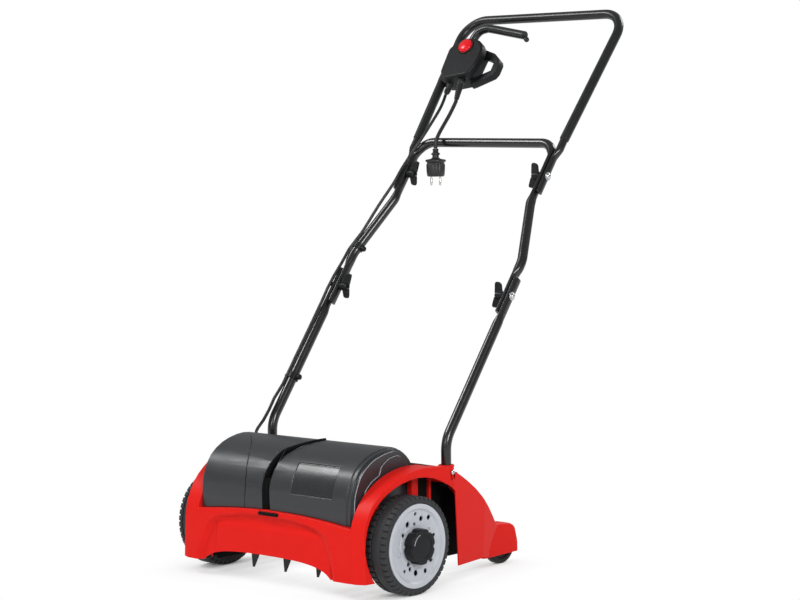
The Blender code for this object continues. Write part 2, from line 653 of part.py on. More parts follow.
def deck():
    reach = BAY_HALF + 0.10
    body = prism("deck", deck_side(0.0, DECK_BOTTOM), -reach, reach, "X")
    combine(body, [prism("deck_plan", deck_plan(0.0), 0.0, 0.30, "Z")], 'INTERSECT')
    for sign, side in sides():
        xs = sorted((sign * POD_X[0], sign * POD_X[1]))
        join(body, prism("pod_" + side, pod_outline(), xs[0], xs[1], "X", 0.003))
    bay = cut(prism("hood_bay", bay_outline(0.0), -BAY_HALF, BAY_HALF, "X"), ledge_block("ledge", 0.0))
    cut(body, bay, deck_hollow())
    for sign, side in sides():
        xs = sorted((sign * (LOWER_X - 0.001), sign * reach))
        pocket = rod("socket_pocket_" + side, (sign * LOWER_X, BEND_Y, SHELF), (sign * LOWER_X, BEND_Y, 0.26),
                     SOCKET + 0.0063, 14)
        combine(pocket, [block("pocket_half_" + side, (xs[0], 0.0, 0.1), (xs[1], 0.3, 0.3))], 'INTERSECT')
        cut(body, pocket)
        xs = sorted((sign * (BAY_HALF - 0.002), sign * (WELL_WALL + SIDE_WALL + 0.002)))
        cut(body, prism("hood_sight_" + side, HOOD_SIGHT, xs[0], xs[1], "X"))
        join(body, rod("socket_" + side, (sign * LOWER_X, BEND_Y, SOCKET_FOOT),
                       (sign * LOWER_X, BEND_Y, SOCKET_TOP), SOCKET, 16))
        join(body, rod("journal_boss_" + side, (sign * JOURNAL_START, 0, WHEEL + ECCENTRIC),
                       (sign * (WELL_WALL + 0.001), 0, WHEEL + ECCENTRIC), JOURNAL + 0.006, 14))
        join(body, rod("bearing_boss_" + side, (sign * (CHAMBER - 0.0056), DRUM_Y, DRUM_Z),
                       (sign * (CHAMBER + 0.0056), DRUM_Y, DRUM_Z), BEARING + 0.004, 16))
        lug_x = sign * (WINDOW_HALF + 0.0018 + FLAP_LUG / 2)
        join(body, block("flap_lug_" + side, (lug_x - FLAP_LUG / 2, FLAP_HINGE_Y - 0.0062, FLAP_HINGE_Z - 0.012),
                         (lug_x + FLAP_LUG / 2, FLAP_HINGE_Y + 0.0062, FLAP_HINGE_Z + 0.0052)))
        rib_x = sign * (JOURNAL_START + 0.0045)
        join(body, block("axle_rib_" + side, (rib_x - 0.0042, -0.0015, 0.112), (rib_x + 0.0042, 0.0015, 0.144)))
        for start, end, out, top in WELL_RIBS:
            xs = sorted((sign * (WELL_WALL + 0.001), sign * (WELL_WALL + SIDE_WALL + out)))
            join(body, block(f"well_rib_{side}_{int(start * 1000)}", (xs[0], start, 0.1500), (xs[1], end, top)))
    join(body, motor_saddle("motor_saddle_left", 0.000), motor_saddle("motor_saddle_right", 0.080))
    well = [(WELL_ARCH[0][0], -0.02)] + [tuple(p) for p in smooth(WELL_ARCH, 2)] + [(WELL_REAR, -0.02)]
    for sign, side in sides():
        clear = WELL_WALL + SIDE_WALL + max(rib[2] for rib in WELL_RIBS) + 0.0006
        low, high = sorted((sign * clear, sign * reach))
        cut(body, prism("wheel_well_" + side, well, low, high, "X"))
        cut(body, rod("socket_bore_" + side, (sign * LOWER_X, BEND_Y, SOCKET_FOOT + 0.004),
                      (sign * LOWER_X, BEND_Y, SOCKET_TOP + 0.01), bore_radius(TUBE, 14), 14))
        cut(body, rod("journal_bore_" + side, (sign * (JOURNAL_START - 0.02), 0, WHEEL + ECCENTRIC),
                      (sign * (WELL_WALL + 0.01), 0, WHEEL + ECCENTRIC), bore_radius(JOURNAL, 14), 14))
        cut(body, rod("bearing_seat_" + side, (sign * (CHAMBER - 0.02), DRUM_Y, DRUM_Z),
                      (sign * (CHAMBER + BEARING_WIDTH / 2), DRUM_Y, DRUM_Z), BEARING, 20))
        cut(body, rod("shaft_hole_" + side, (sign * (CHAMBER - 0.02), DRUM_Y, DRUM_Z),
                      (sign * (CHAMBER + 0.02), DRUM_Y, DRUM_Z), DRUM_SHAFT + 0.0015, 14))
        roof = arc((REAR_Y, REAR_WHEEL), POD_CAVITY, 180, 0, 12)
        low, high = sorted((sign * (REAR_X - REAR_WIDTH / 2 - 0.001), sign * (REAR_X + REAR_WIDTH / 2 + 0.001)))
        cut(body, prism("pod_cavity_" + side, [(REAR_Y - POD_CAVITY, -0.02), *roof, (REAR_Y + POD_CAVITY, -0.02)],
                        low, high, "X"))
        cut(body, rod("rear_pin_hole_" + side, (sign * (POD_X[0] - 0.006), REAR_Y, REAR_WHEEL),
                      (sign * (POD_X[1] - 0.0025), REAR_Y, REAR_WHEEL), bore_radius(REAR_PIN, 10), 10))
        cut(body, rod("flap_pin_hole_" + side, (sign * FLAP_HALF, FLAP_HINGE_Y, FLAP_HINGE_Z),
                      (sign * (WINDOW_HALF + FLAP_LUG + 0.004), FLAP_HINGE_Y, FLAP_HINGE_Z),
                      bore_radius(FLAP_PIN, 8), 8))
        cut(body, rod("socket_screw_hole_" + side, (sign * (LOWER_X + 0.004), BEND_Y, SOCKET_SCREW),
                      (sign * (LOWER_X + 0.031), BEND_Y, SOCKET_SCREW), 0.0026, 8))
    cut(body, block("rear_window", (-WINDOW_HALF, WINDOW_FRONT, 0.0), (WINDOW_HALF, 0.32, 0.24)))
    half, top = APRON_ARCH
    arch = [(APRON_X + x, z) for x, z in arc((0.0, 0.0), 1.0, 0, 180, 16)]
    arch = [(APRON_X + (x - APRON_X) * half, 0.02 + (top - 0.02) * z) for x, z in arch]
    cut(body, prism("apron_arch", arch, -0.14, -0.09, "Y"))
    cut(body, block("belt_slot", (BELT_X - BELT_WIDTH / 2 - 0.002, DRUM_Y - 0.030, 0.140),
                    (BELT_X + BELT_WIDTH / 2 + 0.002, MOTOR_Y + 0.016, 0.170)))
    cut(body, block("latch_pocket", (LATCH_X[0] - GAP, -0.14, LATCH_Z[0] - GAP),
                    (LATCH_X[1] + GAP, LATCH_BACK, HOOD_SEAT + 0.03)))
    cut(body, apron_panel())
    return node(body, "red")


# Hood
def hood_side(distance, foot):
    """Closed side outline of the hood, inset by a distance and run down to a foot."""
    line = inset(smooth(HOOD_SIDE, 2), distance)
    line[0].y = foot
    line[-1].y = foot
    return line


def groove_path():
    """Curved air-intake groove over the hood, as (x, y, z)."""
    return smooth([(-0.0250, -0.0960, 0.110), (-0.0262, -0.0948, 0.145), (-0.0284, -0.0930, 0.183),
                   (-0.0270, -0.0805, 0.216), (-0.0200, -0.0545, 0.2420), (-0.0090, -0.0330, 0.2520),
                   (0.0020, -0.0130, 0.2585), (0.0090, 0.0100, 0.2630), (0.0140, 0.0300, 0.2660)], 2)


def groove(name, grow):
    curve = bpy.data.curves.new(name, 'CURVE')
    curve.dimensions = '3D'
    curve.bevel_depth = GROOVE + grow
    curve.bevel_resolution = 2
    curve.use_fill_caps = True
    points = groove_path()
    spline = curve.splines.new('POLY')
    spline.points.add(len(points) - 1)
    for i, (point, p) in enumerate(zip(spline.points, points)):
        point.co = (*p, 1.0)
        radius = GROOVE * (1.0 - GROOVE_TAPER * i / (len(points) - 1)) + grow
        point.radius = radius / (GROOVE + grow)
    return from_curve(name, curve)


def hood():
    body = prism("hood", hood_side(0.0, 0.110), -HOOD_HALF, HOOD_STEPS[0][0], "X")
    for i, (half, drop) in enumerate(HOOD_STEPS[1:]):
        join(body, prism(f"hood_step_{i}", hood_side(drop, 0.110), 0.0, half, "X"))
    join(body, prism("hood_end_boss", END_BOSS_SIDE, HOOD_HALF - 0.001, HOOD_HALF + END_BOSS, "X"))
    hollow = prism("hood_hollow", hood_side(WALL, 0.05), -HOOD_HALF + WALL, HOOD_STEPS[0][0] - WALL, "X")
    for i, (half, drop) in enumerate(HOOD_STEPS[1:]):
        join(hollow, prism(f"hood_step_hollow_{i}", hood_side(drop + WALL, 0.05), 0.0, half - WALL, "X"))
    cut(hollow, groove("groove_wall", WALL))
    reach = BAY_HALF + 0.01
    foot = prism("hood_foot", [(-0.14, 0.05)] + bay_floor(-GAP) + [(0.14, HOOD_FLOOR + GAP), (0.14, 0.05)],
                 -reach, reach, "X")
    cut(body, hollow, groove("groove", 0.0), foot, ledge_block("hood_ledge", GAP))
    plate = prism("plate_recess", hood_side(-0.01, 0.110), PLATE_X[0], PLATE_X[1], "X")
    under = prism("plate_floor", hood_side(PLATE_DEPTH, 0.05), PLATE_X[0] - 0.01, PLATE_X[1] + 0.01, "X")
    below = block("plate_edge", (PLATE_X[0] - 0.02, -0.2, 0.0), (PLATE_X[1] + 0.02, 0.2, PLATE_Z))
    behind = block("plate_back", (PLATE_X[0] - 0.02, PLATE_BACK, 0.0), (PLATE_X[1] + 0.02, 0.2, 0.4))
    cut(body, cut(plate, under, below, behind))
    return node(body, "hood_grey")


def hood_latch():
    return node(block("hood_latch", (LATCH_X[0], -0.1068, LATCH_Z[0]), (LATCH_X[1], LATCH_BACK - GAP, LATCH_Z[1])),
                "black")


# Drive
def drum():
    half = (BLADE_COUNT - 1) / 2
    axis = (0.0, DRUM_Y, DRUM_Z)
    shaft_left, shaft_right = BELT_X - BELT_WIDTH / 2 - 0.004, CHAMBER + 0.006
    shaft = rod("drum_shaft", (shaft_left, DRUM_Y, DRUM_Z), (shaft_right, DRUM_Y, DRUM_Z), DRUM_SHAFT, 16)
    node(shaft, "steel", axis)
    bore = bore_radius(DRUM_SHAFT, 16)
    outline = []
    for turn in (0, 180):
        for angle, radius in ((-72, BLADE_ROOT), (-40, 0.0215), (-18, 0.0375), (-2, BLADE_TIP), (2, BLADE_TIP),
                              (18, 0.0375), (40, 0.0215), (72, BLADE_ROOT)):
            t = math.radians(angle + turn - 90 - BLADE_LEAN)
            outline.append((DRUM_Y + radius * math.cos(t), DRUM_Z + radius * math.sin(t)))
    blades, rings = [], []
    for i in range(BLADE_COUNT):
        x = (i - half) * BLADE_PITCH
        blade = prism(f"blade_{i}", outline, x - BLADE_THICK / 2, x + BLADE_THICK / 2, "X")
        if i % 2 == 0:
            spin = Matrix.Translation(axis) @ Matrix.Rotation(math.pi / 2, 4, 'X') \
                @ Matrix.Translation(-Vector(axis))
            blade.data.transform(spin)
        blades.append(blade)
    edges = [-CHAMBER + BEARING_WIDTH / 2]
    for i in range(BLADE_COUNT):
        x = (i - half) * BLADE_PITCH
        edges += [x - BLADE_THICK / 2, x + BLADE_THICK / 2]
    edges.append(CHAMBER - BEARING_WIDTH / 2)
    for i, (start, end) in enumerate(zip(edges[::2], edges[1::2])):
        low = start + (GAP if i == 0 else -BLADE_THICK / 4)
        high = end + (-GAP if i == BLADE_COUNT else BLADE_THICK / 4)
        rings.append(rod("blade_stack" if i == 0 else f"spacer_{i}", (low, DRUM_Y, DRUM_Z), (high, DRUM_Y, DRUM_Z),
                         SPACER, 12))
    stack = join(rings[0], *[piece for pair in zip(blades, rings[1:]) for piece in pair])
    cut(stack, rod("blade_bore", (-CHAMBER - 0.03, DRUM_Y, DRUM_Z), (CHAMBER + 0.03, DRUM_Y, DRUM_Z), bore, 16))
    node(stack, "black", axis)
    for sign, side in sides():
        ring = turned("drum_bearing_" + side, [(BEARING - GAP, BEARING_WIDTH), (BEARING - GAP, 0), (bore, 0),
                                               (bore, BEARING_WIDTH)], 16,
                      (sign * (CHAMBER - BEARING_WIDTH / 2), DRUM_Y, DRUM_Z), sign)
        node(ring, "steel")


def pulley(name, y, z, radius, shaft):
    low = BELT_X - BELT_WIDTH / 2
    body = turned(name, [(radius + 0.0035, BELT_WIDTH + 0.003), (radius + 0.0035, BELT_WIDTH + 0.001),
                         (radius, BELT_WIDTH + 0.0006), (radius, -0.0006), (radius + 0.0035, -0.001),
                         (radius + 0.0035, -0.003), (bore_radius(shaft, 18), -0.003),
                         (bore_radius(shaft, 18), BELT_WIDTH + 0.003)], 18, (low, y, z), 1)
    return node(body, "black", (BELT_X, y, z))


def belt_outline(grow):
    """Outline of the belt round both pulleys."""
    a, b = Vector((MOTOR_Y, MOTOR_Z)), Vector((DRUM_Y, DRUM_Z))
    big, small = DRUM_PULLEY + grow, MOTOR_PULLEY + grow
    line = a - b
    lean = math.degrees(math.atan2(line.y, line.x))
    open_angle = math.degrees(math.acos((big - small) / line.length))
    return arc(a, small, lean - open_angle, lean + open_angle, 10) \
        + arc(b, big, lean + open_angle, lean + 360 - open_angle, 16)


def drive():
    pulley("motor_pulley", MOTOR_Y, MOTOR_Z, MOTOR_PULLEY, MOTOR_SHAFT)
    pulley("drum_pulley", DRUM_Y, DRUM_Z, DRUM_PULLEY, DRUM_SHAFT)
    low, high = BELT_X - BELT_WIDTH / 2, BELT_X + BELT_WIDTH / 2
    belt = prism("drive_belt", belt_outline(GAP + BELT_THICK), low, high, "X")
    cut(belt, prism("belt_inside", belt_outline(GAP + 0.0002), low - 0.01, high + 0.01, "X"))
    node(belt, "rubber")
    motor = turned("motor_housing", [(0, 0.152), (0.012, 0.152), (0.016, 0.148), (0.030, 0.146), (MOTOR, 0.136),
                                     (MOTOR, 0.016), (0.034, 0.006), (0.014, 0.004), (0.014, -0.006),
                                     (bore_radius(MOTOR_SHAFT, 20), -0.006), (bore_radius(MOTOR_SHAFT, 20), 0.030),
                                     (0, 0.030)], 20, (MOTOR_START, MOTOR_Y, MOTOR_Z), 1)
    node(motor, "steel")
    shaft = rod("motor_shaft", (BELT_X - BELT_WIDTH / 2 - 0.004, MOTOR_Y, MOTOR_Z), (MOTOR_START + 0.0295, MOTOR_Y, MOTOR_Z),
                MOTOR_SHAFT, 12)
    node(shaft, "steel", (BELT_X, MOTOR_Y, MOTOR_Z))


# Front wheels
def tread_notches(sign):
    """Open notches between the blocks on the outer shoulder of the tyre."""
    parts = []
    for k in range(TREAD_NOTCHES):
        x = sorted((sign * (WHEEL_INNER + WHEEL_WIDTH - 0.0135), sign * (WHEEL_INNER + WHEEL_WIDTH + 0.002)))
        notch = block("notch", (x[0], -0.0035, WHEEL - 0.0034), (x[1], 0.0035, WHEEL + 0.004))
        turn = Matrix.Rotation(2 * math.pi * k / TREAD_NOTCHES, 4, 'X')
        notch.data.transform(Matrix.Translation((0, 0, WHEEL)) @ turn)
        parts.append(notch)
    return merged("tread_notches", parts)


def tyre(sign, side):
    w, seat = WHEEL_WIDTH, RIM_SEAT + GAP
    profile = [(RIM + GAP, w - 0.0012), (0.0860, w), (0.0900, w - 0.0025), (WHEEL, w - 0.0070),
               (WHEEL, 0.0290), (WHEEL - 0.0022, 0.0282), (WHEEL - 0.0022, 0.0232), (WHEEL, 0.0224),
               (WHEEL, 0.0070), (0.0900, 0.0025), (0.0860, 0), (seat + 0.001, 0.0012), (seat, 0.0025),
               (seat, w - 0.0046), (RIM + GAP, w - 0.0040)]
    body = turned("tyre_" + side, profile, 2 * TREAD_NOTCHES, (sign * WHEEL_INNER, 0, WHEEL), sign)
    cut(body, tread_notches(sign))
    return node(body, "rubber", (sign * WHEEL_INNER, 0, WHEEL))


def rim_holes(sign, side):
    """Round holes of unlike size, scattered round the web of the rim."""
    parts = []
    for angle, radius, size in ((8, 0.058, 0.0040), (38, 0.049, 0.0030), (62, 0.060, 0.0048), (88, 0.053, 0.0026),
                                (118, 0.061, 0.0036), (150, 0.052, 0.0042), (183, 0.060, 0.0028), (214, 0.050, 0.0034),
                                (243, 0.060, 0.0046), (276, 0.053, 0.0030), (305, 0.061, 0.0042), (337, 0.050, 0.0028)):
        t = math.radians(angle)
        y, z = radius * math.cos(t), WHEEL + radius * math.sin(t)
        parts.append(rod("hole", (sign * (WHEEL_INNER + 0.036), y, z), (sign * (WHEEL_INNER + 0.053), y, z), size, 6))
    return merged("rim_holes_" + side, parts)


def rim(sign, side):
    w, bore = WHEEL_WIDTH, bore_radius(AXLE_PIN, 2 * TREAD_NOTCHES)
    profile = [(RIM, w - 0.0006), (RIM, w - 0.0038), (RIM_SEAT, w - 0.0046), (RIM_SEAT, 0.003), (0.0715, 0.003),
               (0.0715, 0.0430), (0.0420, 0.0400), (0.0135, 0.0400), (0.0135, -0.004), (bore, -0.004),
               (bore, 0.0435), (0.0370, 0.0435), (0.0420, 0.0425), (0.0660, 0.0455), (0.0700, w - 0.0022),
               (0.0735, w - 0.0006)]
    body = turned("rim_" + side, profile, 2 * TREAD_NOTCHES, (sign * WHEEL_INNER, 0, WHEEL), sign)
    cut(body, rim_holes(sign, side))
    return node(body, "rim_grey", (sign * WHEEL_INNER, 0, WHEEL))


def adjuster(sign, side):
    """Eccentric axle: a journal in the deck, a web and the pin that carries the wheel."""
    pivot_z = WHEEL + ECCENTRIC
    web_low = WELL_WALL + SIDE_WALL + GAP
    body = rod("depth_axle_" + side, (sign * JOURNAL_START, 0, pivot_z), (sign * (web_low + 0.001), 0, pivot_z), JOURNAL, 20)
    join(body, rod("axle_web_" + side, (sign * web_low, 0, pivot_z - ECCENTRIC / 2),
                   (sign * (web_low + WEB_THICK), 0, pivot_z - ECCENTRIC / 2), WEB, 20))
    join(body, rod("axle_pin_" + side, (sign * (web_low + 0.009), 0, WHEEL), (sign * AXLE_END, 0, WHEEL), AXLE_PIN, 16))
    return node(body, "steel", (sign * web_low, 0, pivot_z))


def knob(sign, side):
    """Lobed knob that is pulled out and turned to set the working depth."""
    points = []
    steps = 6 * KNOB_LOBES
    for k in range(steps):
        t = 2 * math.pi * k / steps
        wave = math.cos(KNOB_LOBES * t)
        r = KNOB * (1.0 + 0.075 * wave - 0.035 * wave * wave)
        points.append((r * math.cos(t), WHEEL + r * math.sin(t)))
    low, high = sorted((sign * KNOB_BACK, sign * KNOB_FRONT))
    body = prism("depth_knob_" + side, points, low, high, "X", 0.0015)
    cut(body, rod("knob_bore_" + side, (sign * (KNOB_BACK - 0.01), 0, WHEEL), (sign * (AXLE_END + GAP), 0, WHEEL),
                  bore_radius(AXLE_PIN, 16), 16))
    return node(body, "satin_black", (sign * KNOB_BACK, 0, WHEEL))


def rear_wheels():
    for sign, side in sides():
        bore = bore_radius(REAR_PIN, 18)
        inner = sign * (REAR_X - REAR_WIDTH / 2)
        profile = [(REAR_WHEEL - 0.002, REAR_WIDTH), (REAR_WHEEL, REAR_WIDTH - 0.002), (REAR_WHEEL, 0.002),
                   (REAR_WHEEL - 0.002, 0), (bore, 0), (bore, REAR_WIDTH), (0.012, REAR_WIDTH),
                   (0.014, REAR_WIDTH - 0.003), (0.028, REAR_WIDTH - 0.003), (0.030, REAR_WIDTH)]
        wheel = turned("rear_wheel_" + side, profile, 18, (inner, REAR_Y, REAR_WHEEL), sign)
        node(wheel, "rubber", (inner, REAR_Y, REAR_WHEEL))
        pin = rod("rear_axle_" + side, (sign * (POD_X[0] - 0.0045), REAR_Y, REAR_WHEEL), (sign * (POD_X[1] - 0.0030), REAR_Y, REAR_WHEEL),
                  REAR_PIN, 12)
        node(pin, "steel")


# Rear flap
def rear_flap():
    top = [p for p in smooth(DECK_SIDE, 4) if p.x > FLAP_HINGE_Y + 0.004]
    top = [Vector((FLAP_HINGE_Y - 0.001, FLAP_HINGE_Z - 0.0018))] + top[:-1]
    under = list(reversed(inset(top, FLAP_THICK)))
    body = prism("rear_flap", [tuple(p) for p in top + under], -FLAP_HALF, FLAP_HALF, "X")
    join(body, rod("flap_barrel", (-FLAP_HALF, FLAP_HINGE_Y, FLAP_HINGE_Z), (FLAP_HALF, FLAP_HINGE_Y, FLAP_HINGE_Z),
                   FLAP_BARREL, 12))
    cut(body, rod("flap_bore", (-FLAP_HALF - 0.01, FLAP_HINGE_Y, FLAP_HINGE_Z),
                  (FLAP_HALF + 0.01, FLAP_HINGE_Y, FLAP_HINGE_Z), bore_radius(FLAP_PIN, 10), 10))
    node(body, "black", (0, FLAP_HINGE_Y, FLAP_HINGE_Z))
    pin_half = WINDOW_HALF + FLAP_LUG + 0.0020
    pin = rod("flap_hinge_pin", (-pin_half, FLAP_HINGE_Y, FLAP_HINGE_Z), (pin_half, FLAP_HINGE_Y, FLAP_HINGE_Z),
              FLAP_PIN, 10)
    node(pin, "steel")


# Handle bars
def flat_size(s, joint, thick, wide, radius):
    """Half-axes of a tube that is pressed flat round its joint."""
    off = max(abs(s - joint) - FLAT_REACH, 0.0) / FLAT_BLEND
    blend = min(off, 1.0)
    return (thick / 2 + (radius - thick / 2) * blend, wide / 2 + (radius - wide / 2) * blend)


def lower_bars():
    for sign, side in sides():
        flat_x = JOINT_PLANE_LOW + GAP / 2 + FLAT_THICK / 2
        points = [Vector((sign * LOWER_X, BEND_Y, SOCKET_FOOT + 0.006)), Vector((sign * LOWER_X, BEND_Y, BEND_Z)),
                  on_handle(sign * LOWER_X, LOWER_JOINT - FLAT_REACH - FLAT_BLEND),
                  on_handle(sign * flat_x, LOWER_JOINT - FLAT_REACH), on_handle(sign * flat_x, LOWER_JOINT + STUB)]
        path = rounded(points, [0, BEND_RADIUS, 0, 0, 0], 5)
        sizes = [flat_size((p.y - BEND_Y) / math.sin(LEAN), LOWER_JOINT, FLAT_THICK, FLAT_WIDE, TUBE) for p in path]
        sizes = [(b, a) for a, b in sizes]
        bar = swept("lower_bar_" + side, path, sizes, Vector((1, 0, 0)), TUBE_SIDES)
        bolt_hole(bar, sign, side, LOWER_JOINT, LOWER_X + 0.03, LOWER_X - 0.03)
        cut(bar, rod("bar_screw_hole_" + side, (sign * (LOWER_X - 0.0070), BEND_Y, SOCKET_SCREW),
                     (sign * (LOWER_X + 0.03), BEND_Y, SOCKET_SCREW), 0.0026, 10))
        node(bar, "tube_black")


def bolt_hole(bar, sign, side, s, outer, inner):
    start, end = on_handle(sign * inner, s), on_handle(sign * outer, s)
    return cut(bar, rod(bar.name + "_bolt_hole_" + side, start, end, bore_radius(BOLT, 10), 10))


def middle_bar():
    flat_low = JOINT_PLANE_LOW - GAP / 2 - FLAT_THICK / 2
    flat_up = MIDDLE_FLAT_UP
    half = [(flat_low, LOWER_JOINT - STUB, 0), (flat_low, LOWER_JOINT + FLAT_REACH, 0),
            (MIDDLE_X, LOWER_JOINT + FLAT_REACH + FLAT_BLEND, 0), (MIDDLE_X, MIDDLE_BEND_LOW, 0.06),
            (flat_up, MIDDLE_BEND_UP, 0.05), (flat_up, UPPER_JOINT - FLAT_REACH, 0),
            (flat_up, UPPER_JOINT + FLAT_REACH - 0.0030, 0), (flat_up, MIDDLE_BAR, MIDDLE_CORNER)]
    both = [(-x, s, r) for x, s, r in half] + list(reversed(half))
    path = rounded([on_handle(x, s) for x, s, r in both], [r for x, s, r in both], 4)
    sizes = []
    for p in path:
        s = (p.y - BEND_Y) / math.sin(LEAN)
        joint = LOWER_JOINT if s < (LOWER_JOINT + UPPER_JOINT) / 2 else UPPER_JOINT
        sizes.append(flat_size(s, joint, FLAT_THICK, FLAT_WIDE, TUBE))
    bar = swept("middle_bar", path, sizes, handle_front(), TUBE_SIDES)
    for sign, side in sides():
        bolt_hole(bar, sign, side + "_low", LOWER_JOINT, flat_low + 0.012, flat_low - 0.012)
        bolt_hole(bar, sign, side + "_up", UPPER_JOINT, flat_up + 0.012, flat_up - 0.012)
    return node(bar, "tube_black", on_handle(0, LOWER_JOINT))


def upper_bar():
    flat_x = JOINT_PLANE_UP + GAP / 2 + TOP_FLAT_THICK / 2
    half = [(flat_x, UPPER_JOINT - STUB, 0), (flat_x, UPPER_JOINT + FLAT_REACH, 0),
            (UPPER_X, UPPER_JOINT + FLAT_REACH + FLAT_BLEND, 0), (UPPER_X, SLEEVE_START, 0),
            (UPPER_TOP_X, UPPER_BAR, UPPER_CORNER)]
    both = [(-x, s, r) for x, s, r in half] + list(reversed(half))
    path = rounded([on_handle(x, s) for x, s, r in both], [r for x, s, r in both], 6)
    sizes = [flat_size((p.y - BEND_Y) / math.sin(LEAN), UPPER_JOINT, TOP_FLAT_THICK, TOP_FLAT_WIDE, CORE)
             for p in path]
    bar = swept("upper_bar", path, sizes, handle_front(), TUBE_SIDES)
    for sign, side in sides():
        bolt_hole(bar, sign, side, UPPER_JOINT, flat_x + 0.012, flat_x - 0.012)
    node(bar, "tube_black", on_handle(0, UPPER_JOINT))
    both = both[3:-3]
    path = rounded([on_handle(x, s) for x, s, r in both], [r for x, s, r in both], 6)
    sleeve = swept("grip_sleeve", path, [(TUBE, TUBE)] * len(path), handle_front(), TUBE_SIDES, TUBE - CORE - RUN)
    node(sleeve, "satin_black", on_handle(0, UPPER_JOINT))


def bolt(name, sign, s, outer, inner):
    """Round-headed bolt pushed in from outside, as a turned piece."""
    length = outer - inner
    profile = [(0, length + 0.0050), (0.0034, length + 0.0044), (0.0058, length + 0.0026), (BOLT_HEAD, length),
               (BOLT, length), (BOLT, 0), (0, 0)]
    return node(turned(name, profile, 12, on_handle(sign * inner, s), sign), "steel", on_handle(sign * inner, s))


def wing_nut(name, sign, s, face):
    """Plastic wing nut on the inner side of a joint: a hub and two wings."""
    hub_end = face - 0.0185
    centre = on_handle(0, s)
    upright = Vector((0.0, math.sin(math.radians(12)), math.cos(math.radians(12))))
    body = turned(name, [(0.0068, face - hub_end), (NUT_HUB, face - hub_end - 0.004), (NUT_HUB + 0.0012, 0.001),
                         (NUT_HUB, 0), (bore_radius(BOLT, 12), 0), (bore_radius(BOLT, 12), face - hub_end)],
                  12, (sign * hub_end, centre.y, centre.z), sign)
    outline = [(-0.0045, 0.0040), (-0.0030, 0.0230), (0.0040, 0.0265), (0.0095, 0.0245), (0.0090, 0.0060)]
    for turn in (1, -1):
        points = [(u, turn * v) for u, v in outline]
        wing = prism(name + f"_wing_{turn}", points, -0.0034, 0.0034, "Z")
        across = upright.cross(Vector((1, 0, 0)))
        frame = Matrix(((-sign, 0, 0), (0, upright.y, across.y), (0, upright.z, across.z))).to_4x4()
        place = Vector((sign * (hub_end + 0.0035), centre.y, centre.z))
        wing.data.transform(Matrix.Translation(place) @ frame)
        refresh(wing)
        join(body, wing)
    cut(body, rod(name + "_thread", (sign * (hub_end + 0.002), centre.y, centre.z),
                  (sign * (face + 0.01), centre.y, centre.z), bore_radius(BOLT, 12), 12))
    return node(body, "satin_black", (sign * face, centre.y, centre.z))


def joints():
    for level, s, outer, face in (("lower", LOWER_JOINT, JOINT_PLANE_LOW + FLAT_THICK, JOINT_PLANE_LOW - FLAT_THICK),
                                  ("upper", UPPER_JOINT, JOINT_PLANE_UP + TOP_FLAT_THICK, JOINT_PLANE_UP - FLAT_THICK)):
        outer += 2 * GAP
        face -= 2 * GAP
        for sign, side in sides():
            bolt(f"joint_bolt_{level}_{side}", sign, s, outer, face - 0.0150)
            wing_nut(f"wing_nut_{level}_{side}", sign, s, face)


def socket_screws():
    for sign, side in sides():
        point = LOWER_X - 0.0052
        head = LOWER_X + SOCKET + GAP - point
        profile = [(0, head + 0.0031), (0.0030, head + 0.0025), (0.0045, head), (0.0022, head), (0.0022, 0), (0, 0)]
        node(turned("socket_screw_" + side, profile, 10, (sign * point, BEND_Y, SOCKET_SCREW), sign), "steel")


def cable_clip(name, below, above, place):
    """Clip snapped round the tube between two points of the bar, with an ear on each side."""
    ring_in = TUBE + GAP
    centre = below.lerp(above, place)
    along = (above - below).normalized()
    body = turned(name, [(ring_in + 0.0022, 0.0065), (ring_in + 0.0022, -0.0065), (ring_in / math.cos(math.pi / 16), -0.0065),
                         (ring_in / math.cos(math.pi / 16), 0.0065)], 16, centre, along)
    frame = Matrix((along.cross(handle_front()), handle_front(), along)).transposed().to_4x4()
    ears = []
    for sign in (-1, 1):
        ear = block(name + f"_ear_{sign}", (0.0112 if sign > 0 else -0.0200, -0.0050, -0.0060),
                    (0.0200 if sign > 0 else -0.0112, 0.0050, 0.0060))
        ear.data.transform(Matrix.Translation(centre) @ frame)
        ears.append(ear)
    join(body, *ears)
    cut(body, rod(name + "_cable_way", centre + frame.to_3x3() @ Vector((-0.0060, 0.0118, -0.02)),
                  centre + frame.to_3x3() @ Vector((-0.0060, 0.0118, 0.02)), CABLE + GAP, 12))
    return node(body, "black", centre)


# Controls
def handle_frame():
    along = Vector((0.0, math.sin(LEAN), math.cos(LEAN)))
    turn = Matrix((Vector((1, 0, 0)), along, handle_front())).transposed().to_4x4()
    return Matrix.Translation(on_handle(0, 0)) @ turn


def on_box(across, along, n=0.0):
    """Point on the switch box: across and along from its middle, n off the handle plane."""
    return on_handle(BOX_X + across, BOX_S + along, n)


def box_block(name, low, high, bevel=0.0):
    """Box in the switch box's own frame: across, along, off the plane."""
    body = block(name, low, high, bevel)
    body.data.transform(handle_frame() @ Matrix.Translation((BOX_X, BOX_S, 0.0)))
    return refresh(body)


def box_prism(name, outline, low, high, bevel=0.0):
    """Outline of (across, along) on the switch box, drawn out off the plane."""
    body = prism(name, outline, low, high, "Z", bevel)
    body.data.transform(handle_frame() @ Matrix.Translation((BOX_X, BOX_S, 0.0)))
    return refresh(body)


def leg_at(s, n=0.0):
    """Middle of the left leg of the upper bar at a place along the handle."""
    slope = (UPPER_TOP_X - UPPER_X) / (UPPER_BAR - SLEEVE_START)
    return on_handle(-UPPER_X - slope * (s - SLEEVE_START), s, n)


